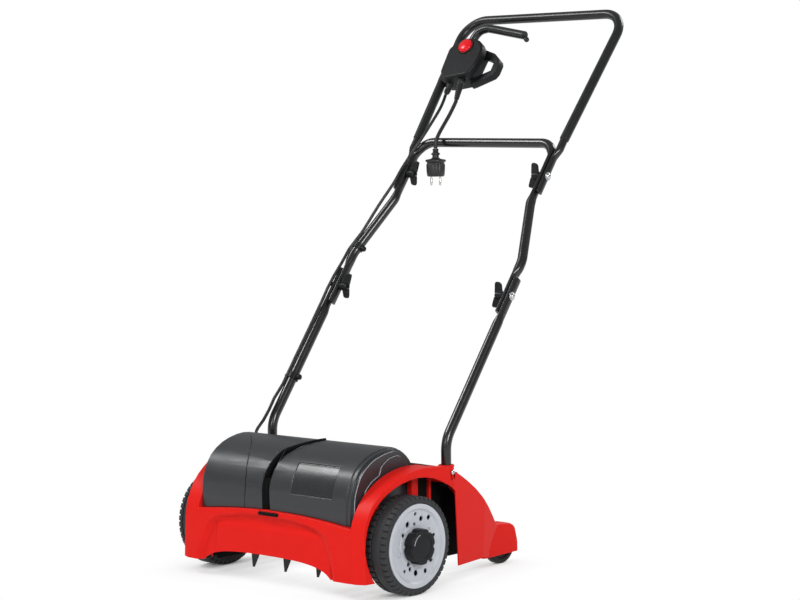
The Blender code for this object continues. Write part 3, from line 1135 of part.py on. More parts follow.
def switch_box():
    pivot = on_handle(0, UPPER_JOINT)
    bx, bs = BUTTON
    lx, ls, ln = LEVER_PIVOT
    cover = box_prism("switch_box_front", COVER, COVER_N[0], COVER_N[1], 0.0025)
    join(cover, rod("button_collar", on_box(bx, bs, COVER_N[1] - 0.006), on_box(bx, bs, COVER_N[1] + 0.0025),
                    BUTTON_RADIUS + BUTTON_COLLAR, 20))
    cut(cover, rod("button_well", on_box(bx, bs, COVER_N[1] - BUTTON_DEPTH - 0.0050),
                   on_box(bx, bs, COVER_N[1] + 0.02), BUTTON_RADIUS + 2 * GAP, 20))
    cut(cover, box_block("lever_slot", (lx - LEVER_SLOT, ls - 0.012, 0.0), (lx + LEVER_SLOT, BOX_TOP, 0.0250)))
    node(cover, "satin_black", pivot)

    base = box_prism("switch_box_rear", BASE, BASE_N[0], BASE_N[1], 0.0030)
    cut(base, rod("leg_way", leg_at(BOX_S + BASE_FOOT - 0.03), leg_at(BOX_S + BOX_TOP), bore_radius(TUBE, 16), 16))
    cut(base, box_block("lever_room", (lx - LEVER_SLOT, ls - 0.020, -0.0095), (lx + LEVER_SLOT, BOX_TOP, 0.02)))
    relief_top, relief_down = relief_place()
    cut(base, rod("relief_room", relief_top - relief_down * 0.02, relief_top + relief_down * 0.03, 0.0088, 14))
    node(base, "satin_black", pivot)

    outer = [(BASE_RIGHT + GAP + out, s) for s, out in HOOK_OUTER]
    inner = [tuple(p) for p in inset(outer, -HOOK_BAND)]
    inner[0] = (outer[0][0], inner[0][1])
    inner[-1] = (outer[-1][0], inner[-1][1])
    node(box_prism("cable_hook", outer + inner[::-1], -HOOK_N, HOOK_N), "satin_black", pivot)

    button = turned("stop_button", [(0, 0.0142), (0.0080, 0.0136), (0.0130, 0.0118), (BUTTON_RADIUS, 0.0085),
                                    (BUTTON_RADIUS, 0.0), (0, 0.0)], 20,
                    on_box(bx, bs, COVER_N[1] - BUTTON_DEPTH), handle_front())
    node(button, "button_red", on_box(bx, bs, COVER_N[1]))

    gx, gn = GLAND
    node(rod("cable_gland", on_box(gx, BASE_FOOT - GLAND_LENGTH, gn), on_box(gx, BASE_FOOT - GAP, gn),
             0.0055, 12, 0.0070), "black", pivot)


def start_lever():
    lx, ls, ln = LEVER_PIVOT
    path = smooth([on_box(lx, ls, ln), on_box(0.0, 0.0480, 0.0130), on_box(0.0010, 0.0700, 0.0185),
                   on_box(0.0100, 0.0900, 0.0220), on_box(0.0300, 0.0980, 0.0235), on_box(0.0520, 0.0955, 0.0245),
                   on_box(0.1000, 0.0870, 0.0260), on_box(0.1420, 0.0790, 0.0270)], 2)
    body = tube("start_lever", path, LEVER, 2)
    tail = tube("lever_tail", [on_box(0.1380, 0.0800, 0.0269), on_box(0.1460, 0.0760, 0.0272),
                               on_box(0.1500, 0.0700, 0.0272)], 0.0022, 1)
    ball = bmesh.new()
    bmesh.ops.create_uvsphere(ball, u_segments=8, v_segments=5, radius=0.0042)
    bmesh.ops.translate(ball, vec=on_box(0.1515, 0.0675, 0.0272), verts=ball.verts)
    join(body, tail, from_bmesh("lever_ball", ball))
    join(body, rod("lever_trunnion", on_box(lx - LEVER_SLOT + 2 * GAP, ls, ln),
                   on_box(lx + LEVER_SLOT - 2 * GAP, ls, ln), 0.0045, 12))
    node(body, "satin_black", on_handle(0, BOX_S + ls, ln))


def relief_place():
    """Top of the mains lead's relief, square to the slanted foot of the cover, and its way down."""
    (x0, s0), (x1, s1) = COVER_FOOT
    top_s = s0 + (s1 - s0) * (RELIEF_X - x0) / (x1 - x0)
    lean = math.atan2(s1 - s0, x1 - x0)
    down = on_handle(math.sin(lean), -math.cos(lean)) - on_handle(0, 0)
    return on_box(RELIEF_X, top_s, RELIEF_N) + down * GAP, down.normalized()


# Leads
def mains_lead():
    pivot = on_handle(0, UPPER_JOINT)
    top, hang = relief_place()
    relief_end = top + hang * RELIEF_LENGTH
    node(rod("strain_relief", relief_end, top, 0.0052, 12, 0.0080), "black", pivot)
    start = relief_end + hang * GAP
    drop = relief_end + Vector(PLUG_DROP)
    route = [start, start + hang * 0.005, start + hang * 0.010, *[drop + Vector(p) for p in PLUG_ROUTE],
             drop + Vector((0, 0.0003, 0.0080)), drop + Vector((0, 0, GAP))]
    node(tube("mains_cord", smooth(route, 2), CORD, 1), "rubber", pivot)
    z = PLUG_LENGTH
    plug = turned("mains_plug", [(0, z), (0.0062, z), (0.0068, z - 0.007), (0.0092, z - 0.0085), (0.0092, z - 0.0115),
                                 (0.0066, z - 0.013), (0.0075, z - 0.019), (0.0205, z - 0.0225), (0.0215, z - 0.0245),
                                 (0.0205, z - 0.0290), (0.0180, 0.001), (0.0165, 0), (0, 0)],
                  14, drop - Vector((0, 0, z)), Vector((0, 0, 1)))
    node(plug, "rubber", pivot)
    foot = drop - Vector((0, 0, z))
    for sign, side in sides():
        pin = foot + Vector((0.0086 * sign, 0.0040 * sign, 0.0))
        node(rod("plug_pin_" + side, pin - Vector((0, 0, 0.0190)), pin - Vector((0, 0, GAP)), 0.0024, 8),
             "steel", pivot)


def motor_cable():
    """Lead from the switch box down the left bars to the gland on the deck."""
    gx, gn = GLAND
    foot = BASE_FOOT - GLAND_LENGTH
    gland_top = Vector((-LOWER_X + 0.0057, 0.0790, 0.2470))
    route = [on_box(gx, foot - GAP, gn), on_box(gx, foot - 0.0030, gn), on_box(gx, foot - 0.0060, gn)]
    route += [on_handle(-UPPER_X + out, s, n) for out, s, n in CABLE_UPPER]
    route += [on_handle(-MIDDLE_X + out, s, n) for out, s, n in CABLE_MIDDLE]
    route += [on_handle(-LOWER_X + out, s, n) for out, s, n in CABLE_LOWER]
    route += [Vector((-LOWER_X + out, y, z)) for out, y, z in CABLE_FOOT]
    route += [gland_top + Vector((0, 0.0010, 0.0080)), gland_top + Vector((0, 0, GAP))]
    node(tube("motor_cable", smooth(route, 2), CABLE, 1), "rubber")
    gland = turned("deck_gland", [(0, 0.0180), (0.0052, 0.0180), (0.0062, 0.0100), (0.0085, 0.0085), (0.0085, 0.0),
                                  (0, 0.0)], 12, gland_top - Vector((0, 0, 0.0180)), Vector((0, 0, 1)))
    node(gland, "black")


def build():
    clear_scene()
    root = make_collections()
    deck()
    hood()
    hood_latch()
    drum()
    drive()
    for sign, side in sides():
        adjuster(sign, side)
        tyre(sign, side)
        rim(sign, side)
        knob(sign, side)
    rear_wheels()
    rear_flap()
    lower_bars()
    middle_bar()
    upper_bar()
    joints()
    socket_screws()
    cable_clip("cable_clip_lower", on_handle(-LOWER_X, 0.0), on_handle(-LOWER_X, 0.2100), 0.5)
    cable_clip("cable_clip_upper", on_handle(-MIDDLE_X, MIDDLE_BEND_LOW), on_handle(-MIDDLE_FLAT_UP, MIDDLE_BEND_UP), 0.12)
    switch_box()
    start_lever()
    mains_lead()
    motor_cable()
    rear_end = on_handle(0, UPPER_BAR).y + TUBE
    front_end = DECK_SIDE[0][0]
    root.location = (0.0, -(rear_end + front_end) / 2, 0.0)


build()
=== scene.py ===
"""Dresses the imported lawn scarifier: mouldings, tyres, powder-coated bars, switch box and leads.

Metres throughout. Shapes are drawn from the front axle, as the part is: y runs from the
front axle and z from the ground. settle() then moves each finished mesh into the row frame.
"""
import math

import bmesh
import bpy
from mathutils import Matrix, Vector


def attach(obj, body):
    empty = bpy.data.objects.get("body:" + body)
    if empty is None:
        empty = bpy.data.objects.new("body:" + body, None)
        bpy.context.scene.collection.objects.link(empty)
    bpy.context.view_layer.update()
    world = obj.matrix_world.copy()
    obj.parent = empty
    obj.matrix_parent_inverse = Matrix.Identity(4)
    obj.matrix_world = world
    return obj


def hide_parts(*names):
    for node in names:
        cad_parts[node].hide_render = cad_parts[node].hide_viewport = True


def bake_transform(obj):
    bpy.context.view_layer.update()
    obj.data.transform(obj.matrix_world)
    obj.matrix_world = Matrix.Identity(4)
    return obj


bl_info = {
    "name": "Lawn Scarifier",
    "version": (1, 0, 0),
    "blender": (4, 5, 0),
    "location": "View3D > Sidebar > Scarifier",
    "description": "Builds the mouldings, wheels, folding handle and leads of an electric lawn scarifier",
    "category": "Object",
}

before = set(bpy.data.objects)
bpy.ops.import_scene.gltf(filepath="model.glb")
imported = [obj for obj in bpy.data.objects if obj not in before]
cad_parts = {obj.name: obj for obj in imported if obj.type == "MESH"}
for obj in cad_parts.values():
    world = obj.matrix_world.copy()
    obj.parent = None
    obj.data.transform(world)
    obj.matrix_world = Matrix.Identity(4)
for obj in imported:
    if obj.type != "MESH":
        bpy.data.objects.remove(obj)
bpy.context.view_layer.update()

# The front axle lies this far ahead of the row frame's origin
AXLE_AHEAD = 0.3119331
GAP = 0.0003
# Points closer than these are merged: in shapes at work, and in finished meshes
FINE = 0.000005
MERGE = 0.00001

# Body
LOWER_X = 0.2292
APRON_X = -0.015
APRON_HALF = 0.2045
APRON_SKIN = 0.0013
DECK_REAR = 0.285
DECK_SIDE = [(-0.1155, 0.031), (-0.1075, 0.105), (-0.102, 0.14), (-0.082, 0.174), (-0.052, 0.199),
             (-0.015, 0.2175), (0.03, 0.228), (0.075, 0.2285), (0.12, 0.2215), (0.16, 0.2), (0.205, 0.169),
             (0.25, 0.128), (0.285, 0.085)]
PANEL = [(0.1815, 0.02), (0.181, 0.04), (0.17, 0.077), (0.156, 0.108), (0.125, 0.1235), (0.07, 0.132),
         (0.0, 0.1345)]
# What is cut off the deck's flanks over the rear wheels, and under the pods' necks
ARC = [(0.31, 0.0), (0.26, 0.0), (0.26, 0.025), (0.2632, 0.04), (0.2675, 0.056), (0.276, 0.071),
       (0.287, 0.0835), (0.31, 0.09)]
NOTCH = [(0.26, 0.0), (0.31, 0.0), (0.31, 0.0325), (0.26, 0.043)]
POD_X = (0.1655, 0.199)
REAR_X = 0.1825
REAR_Y = 0.3435
REAR_WHEEL = 0.039
REAR_WIDTH = 0.018
SOCKET = 0.0142
SOCKET_TOP = 0.224
SOCKET_SCREW = 0.211

# Front wheels
WHEEL = 0.092
WHEEL_INNER = 0.2209
WHEEL_WIDTH = 0.0513
RIM = 0.0783
RIM_SEAT = 0.0742
KNOB = 0.0335
KNOB_BACK = 0.2672
KNOB_FRONT = 0.286

# Handle: its plane leans back from the bend of the lower bars
LEAN = math.radians(36.4)
BEND_Y = 0.1315
BEND_Z = 0.2702
BEND_RADIUS = 0.06
ALONG = Vector((0.0, math.sin(LEAN), math.cos(LEAN)))
FRONT = Vector((0.0, -math.cos(LEAN), math.sin(LEAN)))
LOWER_JOINT = 0.3234
UPPER_JOINT = 0.6042
JOINT_LOW = 0.2256
JOINT_UP = 0.185
FLAT = (0.0098, 0.0206)
TOP_FLAT = (0.0086, 0.017)
FLAT_REACH = 0.044
FLAT_BLEND = 0.02
STUB = 0.04
# A wing nut's broad upper and narrow lower wing, seen along its bolt
WINGS = (
    [(-0.012, 0.003), (-0.008, 0.012), (-0.0045, 0.024), (0.0035, 0.0272), (0.0098, 0.025), (0.008, 0.012),
     (0.007, 0.003)],
    [(-0.011, -0.003), (-0.006, -0.012), (-0.002, -0.0225), (0.005, -0.025), (0.0096, -0.0215),
     (0.008, -0.011), (0.0066, -0.003)])
MIDDLE_X = 0.2225
MIDDLE_BEND_LOW = 0.404
MIDDLE_BEND_UP = 0.5402
MIDDLE_FLAT_UP = 0.17995
MIDDLE_BAR = 0.684
MIDDLE_CORNER = 0.038
CORE = 0.008
SLEEVE_START = 0.692
UPPER_X = 0.1945
UPPER_TOP_X = 0.2068
UPPER_BAR = 1.008
UPPER_CORNER = 0.052

# Switch box on the left leg, and the leads
BOX_X = -0.15
BOX_S = 0.87
COVER_FOOT = [(-0.0155, -0.0455), (0.0405, -0.0335)]
COVER = COVER_FOOT + [(0.0515, -0.01), (0.0545, 0.02), (0.05, 0.038), (0.037, 0.053), (0.02, 0.06),
                      (-0.01, 0.06), (-0.0278, 0.049), (-0.0405, 0.034), (-0.0355, -0.027)]
COVER_TOP = 0.034
BASE = [(-0.048, -0.018), (-0.044, -0.032), (-0.03, -0.042), (-0.012, -0.0425), (0.031, -0.034),
        (0.038, -0.028), (0.038, 0.044), (0.032, 0.054), (0.015, 0.059), (-0.038, 0.059), (-0.048, 0.045)]
CLAMP = [(-0.063, -0.03), (-0.04, -0.038), (-0.04, 0.05), (-0.063, 0.046)]
BASE_N = (-0.0135, 0.0157)
BASE_FOOT = -0.056
BASE_RIGHT = 0.038
HOOK = [(-0.043, 0.0), (-0.04, 0.008), (-0.0185, 0.049), (-0.008, 0.054), (0.0145, 0.053), (0.023, 0.048),
        (0.037, 0.03), (0.0445, 0.008), (0.047, 0.0)]
HOOK_BAND = 0.0155
BUTTON = (0.0055, 0.038)
LEVER_PIVOT = (0.0, 0.028, 0.011)
LEVER_ROOM = 0.0105
RELIEF_X = 0.0183
RELIEF_N = 0.0165
RELIEF_LENGTH = 0.048
GLAND = (-0.016, 0.0075)
GLAND_LENGTH = 0.009
CABLE = 0.0032
CORD = 0.004
PLUG_DROP = (0.0016, -0.0703, -0.1029)
PLUG_LENGTH = 0.0575

# Camera set to the photo: its place, right and up, focal length in millimetres, and shifts
VIEW_FROM = (3.251769, -3.398499, 0.915511)
VIEW_RIGHT = Vector((0.75034356, 0.66098452, -0.0091655))
VIEW_UP = Vector((-0.04734581, 0.06756569, 0.99659081))
VIEW_LENS = 111.84
VIEW_SHIFT = (-0.010249, 0.002063)

# Lamps: place, aim, width and power in watts
LAMPS = {
    "key": ((-2.6, -2.0, 3.4), (0.0, -0.2, 0.3), 1.3, 80.0),
    "front": ((0.6, -3.9, 1.6), (0.0, 0.0, 0.4), 1.2, 25.0),
    "side": ((3.3, -1.9, 1.9), (0.0, 0.0, 0.4), 1.2, 72.0),
    "rim": ((0.5, 3.0, 2.6), (0.0, 0.1, 0.5), 1.4, 50.0),
}


def linear(code):
    """sRGB hex to the linear red, green and blue that shaders take."""
    out = []
    for i in (1, 3, 5):
        c = int(code[i:i + 2], 16) / 255
        out.append(c / 12.92 if c <= 0.04045 else ((c + 0.055) / 1.055) ** 2.4)
    return tuple(out)


# What a user would change

def paint(label, note, code):
    """Colour that a user may change."""
    return bpy.props.FloatVectorProperty(name=label, description=note, subtype='COLOR', size=3, min=0, max=1,
                                         default=linear(code))


class ScarifierColours(bpy.types.PropertyGroup):
    body: paint("Body", "Red polypropylene of the deck", "#dd1f19")
    hood: paint("Hood", "Dark grey of the motor hood", "#2d3033")
    black: paint("Black plastic", "Nylon of knobs, clips, nuts and box", "#17181a")
    coat: paint("Bars", "Powder coat of the handle bars", "#0d0e0f")
    sleeve: paint("Grip sleeve", "Soft sleeve on the top bar", "#1a1b1c")
    tyre: paint("Tyres", "Rubber of the front tyres", "#2e3032")
    rim: paint("Rims", "Light grey of the wheel rims", "#bfc3ca")
    button: paint("Stop button", "Signal red of the button", "#e30d1b")


class ScarifierSizes(bpy.types.PropertyGroup):
    bar: bpy.props.FloatProperty(name="Bar radius", description="Outer radius of the handle bars",
                                 unit='LENGTH', default=0.0097, min=0.005, max=0.0097, precision=4)
    edge: bpy.props.FloatProperty(name="Moulded edge", description="Radius on the edges of the mouldings",
                                  unit='LENGTH', default=0.001, min=0.0002, max=0.002, precision=4)
    tread_blocks: bpy.props.IntProperty(
        name="Tread blocks", description="Blocks round one row of a front tyre", default=46, min=12, max=60)
    tread_depth: bpy.props.FloatProperty(name="Tread depth",
                                         description="Depth of the grooves between the blocks", unit='LENGTH',
                                         default=0.0034, min=0.001, max=0.006, precision=4)


# Shaders

def add(tree, kind, sockets=None, **settings):
    """Adds a node with its settings, and fills its sockets with values or with (node, output)."""
    made = tree.nodes.new(kind)
    for key, value in settings.items():
        setattr(made, key, value)
    for key, value in (sockets or {}).items():
        if isinstance(value, tuple) and isinstance(value[0], bpy.types.Node):
            tree.links.new(value[0].outputs[value[1]], made.inputs[key])
        else:
            made.inputs[key].default_value = value
    return made


def blank(owner):
    """Empties the node tree of a new material or world."""
    owner.use_nodes = True
    owner.node_tree.nodes.clear()
    return owner.node_tree


def surface(name, colour, rough, spread, shade, cloud, grain, depth, **sockets):
    """Solid material with clouded colour, uneven gloss and a bumpy grain. Lengths are in metres."""
    made = bpy.data.materials.new(name)
    tree = blank(made)
    place = add(tree, 'ShaderNodeTexCoord')
    clouds = add(tree, 'ShaderNodeTexNoise',
                 {"Vector": (place, "Object"), "Scale": 1 / cloud, "Detail": 5.0, "Roughness": 0.6})
    dark = tuple(c * (1 - shade) for c in colour)
    light = tuple(min(1.0, c * (1 + shade) + 0.002) for c in colour)
    tint = add(tree, 'ShaderNodeMix', {"Factor": (clouds, "Fac"), "A": (*dark, 1.0), "B": (*light, 1.0)},
               data_type='RGBA')
    gloss = add(tree, 'ShaderNodeMapRange', {"Value": (clouds, "Fac"), "From Min": 0.3, "From Max": 0.7,
                                             "To Min": rough - spread, "To Max": rough + spread})
    pits = add(tree, 'ShaderNodeTexNoise', {"Vector": (place, "Object"), "Scale": 1 / grain, "Detail": 3.0})
    bump = add(tree, 'ShaderNodeBump', {"Height": (pits, "Fac"), "Distance": depth, "Strength": 1.0})
    values = {"Base Color": (tint, "Result"), "Roughness": (gloss, "Result"), "Normal": (bump, "Normal")}
    values.update(sockets)
    shader = add(tree, 'ShaderNodeBsdfPrincipled', values)
    add(tree, 'ShaderNodeOutputMaterial', {"Surface": (shader, "BSDF")})
    return made


_finishes = {}


def plastic(ior, level):
    """Sockets of a plastic or a coat."""
    return {"IOR": ior, "Specular IOR Level": level}


def finish(name):
    """Each finish is made once, from what the real one is."""
    if name in _finishes:
        return _finishes[name]
    c = bpy.context.scene.scarifier_colours
    plain = plastic(1.53, 0.45)
    metal = {"Metallic": 1.0}
    # Colour, gloss and its spread, shading, and the sizes of clouds, grain and bumps
    makers = {
        # Polypropylene from a polished mould: even semi-gloss with a faint flow mottle
        "moulded_red_polypropylene": (c.body, 0.36, 0.04, 0.04, 0.06, 0.0022, 0.000008, plastic(1.49, 0.08)),
        # Painted shade: dull near-black put on the deck's inner faces, the arch sheets and the pods'
        # cavities, where they lie in shade
        "black_liner_polypropylene": ("#060606", 0.7, 0.05, 0.2, 0.04, 0.002, 0.00002, plastic(1.49, 0.1)),
        # Spark-eroded ABS: a fine grain that spreads the lamps into soft grey bands
        "spark_eroded_grey_abs": (c.hood, 0.36, 0.04, 0.06, 0.04, 0.0014, 0.00002, plain),
        # The same moulding polished where a plate sits
        "polished_grey_abs": (tuple(0.7 * v for v in c.hood), 0.27, 0.03, 0.06, 0.04, 0.003, 0.000005, plain),
        # Painted shade: black for the unlit groove in the hood, its latch and the space behind the rims'
        # webs; also the dark hairline of the hood's seam
        "slot_black_abs": ("#050505", 0.6, 0.05, 0.2, 0.02, 0.001, 0.00002, plastic(1.53, 0.12)),
        # Glass-filled nylon: dull, with slightly glossier streaks
        "glass_filled_nylon": (c.black, 0.4, 0.07, 0.12, 0.012, 0.001, 0.00002, plastic(1.53, 0.18)),
        # Black powder coat on steel tube: deep gloss with faint orange peel a few millimetres across
        "gloss_powder_coat": (c.coat, 0.25, 0.03, 0.1, 0.02, 0.004, 0.000001, plastic(1.5, 0.65)),
        # Soft PVC sleeve: satin and finely leathered
        "soft_grip_pvc": (c.sleeve, 0.3, 0.04, 0.12, 0.02, 0.003, 0.000004, plastic(1.5, 0.4)),
        # Carbon-black rubber: dusty and dull, blotched where it was handled
        "tyre_rubber": (c.tyre, 0.62, 0.08, 0.22, 0.018, 0.0012, 0.00007, plastic(1.52, 0.3)),
        # Light grey polypropylene of the rims, matt from a textured mould; the same grey makes the painted
        # highlights on the hood's end and the knobs
        "silver_grey_polypropylene": (c.rim, 0.36, 0.04, 0.05, 0.02, 0.0014, 0.00002, {"IOR": 1.49}),
        # Clear zinc plate: cool grey metal with a cloudy sheen
        "zinc_plate": ("#b4b6ba", 0.28, 0.08, 0.12, 0.006, 0.0009, 0.00002, metal),
        # Bright nickel-chrome on bolt heads: near-mirror with faint haze
        "bright_chrome": ("#c9cbcf", 0.22, 0.04, 0.05, 0.006, 0.0009, 0.000005, metal),
        # Rolled steel can of the motor
        "rolled_motor_steel": ("#8d9093", 0.34, 0.08, 0.15, 0.01, 0.001, 0.00003, metal),
        # Blackened spring steel of the blades, rubbed by soil
        "blackened_spring_steel": ("#26272a", 0.38, 0.1, 0.3, 0.008, 0.001, 0.00008, {"Metallic": 0.4}),
        # Polished ABS button
        "signal_red_abs": (c.button, 0.24, 0.03, 0.04, 0.01, 0.002, 0.000005, plastic(1.53, 0.3)),
        # Rubber jacket of the leads
        "rubber_flex": ("#151617", 0.42, 0.06, 0.15, 0.01, 0.001, 0.00003, {"IOR": 1.52}),
        # Moulded rubber of plug and reliefs
        "moulded_plug_rubber": ("#1c1d1e", 0.44, 0.06, 0.12, 0.008, 0.0008, 0.00004, {"IOR": 1.52}),
        # Nickel-plated brass pins
        "nickel_plate": ("#d2cfc6", 0.22, 0.05, 0.06, 0.004, 0.0008, 0.00001, metal),
        # Neoprene belt with a fabric back
        "neoprene_belt": ("#1d1d1d", 0.66, 0.06, 0.2, 0.006, 0.0008, 0.0001, {"IOR": 1.52}),
    }
    colour, *sizes, sockets = makers[name]
    if isinstance(colour, str):
        colour = linear(colour)
    _finishes[name] = surface(name, colour, *sizes, **sockets)
    return _finishes[name]


# Places

def on_handle(x, s, n=0.0):
    """Point on the handle: x across, s along its plane from the bend, n off its front."""
    return Vector((x, BEND_Y, BEND_Z)) + ALONG * s + FRONT * n


def on_box(across, along, n=0.0):
    """Point on the switch box: across and along from its middle, n off the handle plane."""
    return on_handle(BOX_X + across, BOX_S + along, n)


def box_frame():
    """Across, along and off the handle plane, from the switch box's middle."""
    turn = Matrix((Vector((1, 0, 0)), ALONG, FRONT)).transposed().to_4x4()
    return Matrix.Translation(on_box(0, 0)) @ turn


def relief_seat():
    """Where the mains lead's relief leaves the cover's slanted foot, and which way it hangs."""
    (x0, s0), (x1, s1) = COVER_FOOT
    lean = math.atan2(s1 - s0, x1 - x0)
    hang = (on_handle(math.sin(lean), -math.cos(lean)) - on_handle(0, 0)).normalized()
    return on_box(RELIEF_X, s0 + (s1 - s0) * (RELIEF_X - x0) / (x1 - x0), RELIEF_N), hang


def side_on(x):
    """Puts an outline of (y, z) upright at a place across the machine."""
    turn = Matrix(((0, 0, 1), (1, 0, 0), (0, 1, 0))).to_4x4()
    return Matrix.Translation((x, 0, 0)) @ turn


def sides():
    """Sign of x and name of each side."""
    return ((-1, "left"), (1, "right"))


def ease(value, start, end):
    """Soft step from nought to one."""
    t = max(0.0, min(1.0, (value - start) / (end - start)))
    return t * t * (3 - 2 * t)


def row(point):
    """The same point in the row frame."""
    return Vector(point) - Vector((0.0, AXLE_AHEAD, 0.0))


def rounded(points, radii, steps):
    """Polyline whose inner corners are turned by arcs of the given radii."""
    points = [Vector(p) for p in points]
    out = [points[0]]
    for i in range(1, len(points) - 1):
        p, radius = points[i], radii[i]
        if radius == 0:
            out.append(p)
            continue
        u = (points[i - 1] - p).normalized()
        v = (points[i + 1] - p).normalized()
        half = u.angle(v) / 2
        reach = radius / math.tan(half)
        centre = p + (u + v).normalized() * radius / math.sin(half)
        start = p + u * reach - centre
        axis = start.cross(p + v * reach - centre)
        for k in range(steps + 1):
            out.append(centre + Matrix.Rotation((math.pi - 2 * half) * k / steps, 3, axis) @ start)
    out.append(points[-1])
    return out


def smooth(points, steps):
    """Catmull-Rom curve through the points."""
    points = [Vector(p) for p in points]
    ends = [points[0] * 2 - points[1]] + points + [points[-1] * 2 - points[-2]]
    out = []
    for i in range(1, len(ends) - 2):
        a, b, c, d = ends[i - 1:i + 3]
        for k in range(steps):
            t = k / steps
            out.append(0.5 * (2 * b + (c - a) * t + (2 * a - 5 * b + 4 * c - d) * t * t
                              + (3 * b - a - 3 * c + d) * t * t * t))
    out.append(points[-1])
    return out


# Modelling

def baked(bm, name):
    """Mesh data from a bmesh, which is freed."""
    mesh = bpy.data.meshes.new(name)
    bm.to_mesh(mesh)
    bm.free()
    return mesh


def linked(name, data):
    """Object in the open scene."""
    made = bpy.data.objects.new(name, data)
    bpy.context.scene.collection.objects.link(made)
    return made


def settle(bm, name, materials, body, nodes=(), sharp=35, edge=0.0, steps=2):
    """Merges a mesh's points, turns it outwards, puts it in the row frame and rides it on its body."""
    bmesh.ops.translate(bm, vec=(0.0, -AXLE_AHEAD, 0.0), verts=bm.verts[:])
    bmesh.ops.remove_doubles(bm, verts=bm.verts[:], dist=MERGE)
    bm.normal_update()
    bmesh.ops.recalc_face_normals(bm, faces=bm.faces[:])
    mesh = baked(bm, name)
    mesh.shade_smooth()
    mesh.set_sharp_from_angle(angle=math.radians(sharp))
    made = linked(name, mesh)
    for material in [materials] if isinstance(materials, str) else materials:
        mesh.materials.append(finish(material))
    if edge:
        bevel = made.modifiers.new("edge", 'BEVEL')
        bevel.width = edge
        bevel.segments = steps
        bevel.limit_method = 'ANGLE'
        bevel.angle_limit = math.radians(sharp)
        bevel.use_clamp_overlap = False
        bevel.miter_outer = 'MITER_ARC'
        made.modifiers.new("weighted", 'WEIGHTED_NORMAL').keep_sharp = True
    if body:
        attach(made, body)
    if nodes:
        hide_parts(*nodes)
    return made


def bevelled(bm, edges, width, segments):
    """Rounds edges."""
    bmesh.ops.bevel(bm, geom=edges, offset=width, offset_type='OFFSET', segments=segments, profile=0.5,
                    affect='EDGES', material=-1, clamp_overlap=True)


def node_copy(node, weld=0.00002):
    """Copy of a CAD node's mesh, merged and cleared of flat cuts, seen from the front axle."""
    bm = bmesh.new()
    bm.from_mesh(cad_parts[node].data)
    bmesh.ops.translate(bm, vec=(0.0, AXLE_AHEAD, 0.0), verts=bm.verts[:])
    bmesh.ops.remove_doubles(bm, verts=bm.verts[:], dist=weld)
    bmesh.ops.dissolve_limit(bm, angle_limit=math.radians(1), verts=bm.verts[:], edges=bm.edges[:],
                             use_dissolve_boundaries=False)
    for face in bm.faces:
        face.material_index = 0
    return bm


def turned(profile, base, axis, steps=48):
    """Spins a profile of (radius, height) round an axis that starts at base."""
    bm = bmesh.new()
    turn = Vector(axis).to_track_quat('Z', 'Y').to_matrix().to_4x4()
    place = Matrix.Translation(Vector(base)) @ turn
    line = [bm.verts.new(place @ Vector((r, 0.0, h))) for r, h in profile]
    edges = [bm.edges.new(pair) for pair in zip(line, line[1:])]
    if profile[0][0] > 0 or profile[-1][0] > 0:
        edges.append(bm.edges.new((line[-1], line[0])))
    bmesh.ops.spin(bm, geom=line + edges, cent=Vector(base), axis=Vector(axis).normalized(),
                   angle=2 * math.pi, steps=steps, use_merge=True)
    bmesh.ops.remove_doubles(bm, verts=bm.verts[:], dist=FINE)
    return bm


def drawn(path, sizes, across, count=24, bm=None):
    """Draws an oval along a path, in a new mesh or an open one. Its half-axes, one pair for all or one
    for each point, lie beside and along across."""
    if bm is None:
        bm = bmesh.new()
    if not isinstance(sizes, list):
        sizes = [sizes] * len(path)
    rings, up = [], Vector(across)
    for i, p in enumerate(path):
        before, after = path[max(i - 1, 0)], path[min(i + 1, len(path) - 1)]
        tangent = ((after - p).normalized() + (p - before).normalized()).normalized()
        up = (up - tangent * up.dot(tangent)).normalized()
        a, b = sizes[i]
        turn = Matrix((tangent.cross(up) * a, up * b, tangent)).transposed().to_4x4()
        made = bmesh.ops.create_circle(bm, segments=count, radius=1.0, matrix=Matrix.Translation(p) @ turn)
        rings.append(list(dict.fromkeys(e for v in made["verts"] for e in v.link_edges)))
    for low, high in zip(rings, rings[1:]):
        bmesh.ops.bridge_loops(bm, edges=low + high)
    for ring in (rings[0], rings[-1]):
        bmesh.ops.edgeloop_fill(bm, edges=ring)
    return bm


def slab(outline, low, high, place, corner=0.0, top=0.0, foot=0.0, segments=4, bm=None):
    """Outline drawn out from low to high, with rounded corners and rims, in a new mesh or an open one."""
    if bm is None:
        bm = bmesh.new()
    part = bmesh.new()
    line = [part.verts.new((u, v, low)) for u, v in outline]
    rim = [part.edges.new(pair) for pair in zip(line, line[1:] + line[:1])]
    face = bmesh.ops.edgeloop_fill(part, edges=rim)["faces"]
    raised = bmesh.ops.extrude_face_region(part, geom=face)["geom"]
    bmesh.ops.translate(part, vec=(0, 0, high - low),
                        verts=[g for g in raised if isinstance(g, bmesh.types.BMVert)])
    if corner:
        bevelled(part, [e for e in part.edges if abs(e.verts[0].co.z - e.verts[1].co.z) > (high - low) / 2],
                 corner, segments)
    for level, width in ((high, top), (low, foot)):
        if width:
            bevelled(part, [e for e in part.edges if all(abs(v.co.z - level) < 0.000001 for v in e.verts)],
                     width, segments)
    part.transform(place)
    mesh = baked(part, "part")
    bm.from_mesh(mesh)
    bpy.data.meshes.remove(mesh)
    return bm


def side_slab(sign, outline, inner, outer, inner_rim=0.0, outer_rim=0.0, **rest):
    """Slab of a (y, z) outline on one side, between two distances off the middle."""
    foot, top = (inner_rim, outer_rim)[::sign]
    return slab(outline, *sorted((sign * inner, sign * outer)), side_on(0), foot=foot, top=top, **rest)


def holder(bm, name):
    """Temporary object for a Boolean."""
    bmesh.ops.remove_doubles(bm, verts=bm.verts[:], dist=FINE)
    bm.normal_update()
    bmesh.ops.recalc_face_normals(bm, faces=bm.faces[:])
    return linked(name, baked(bm, name))


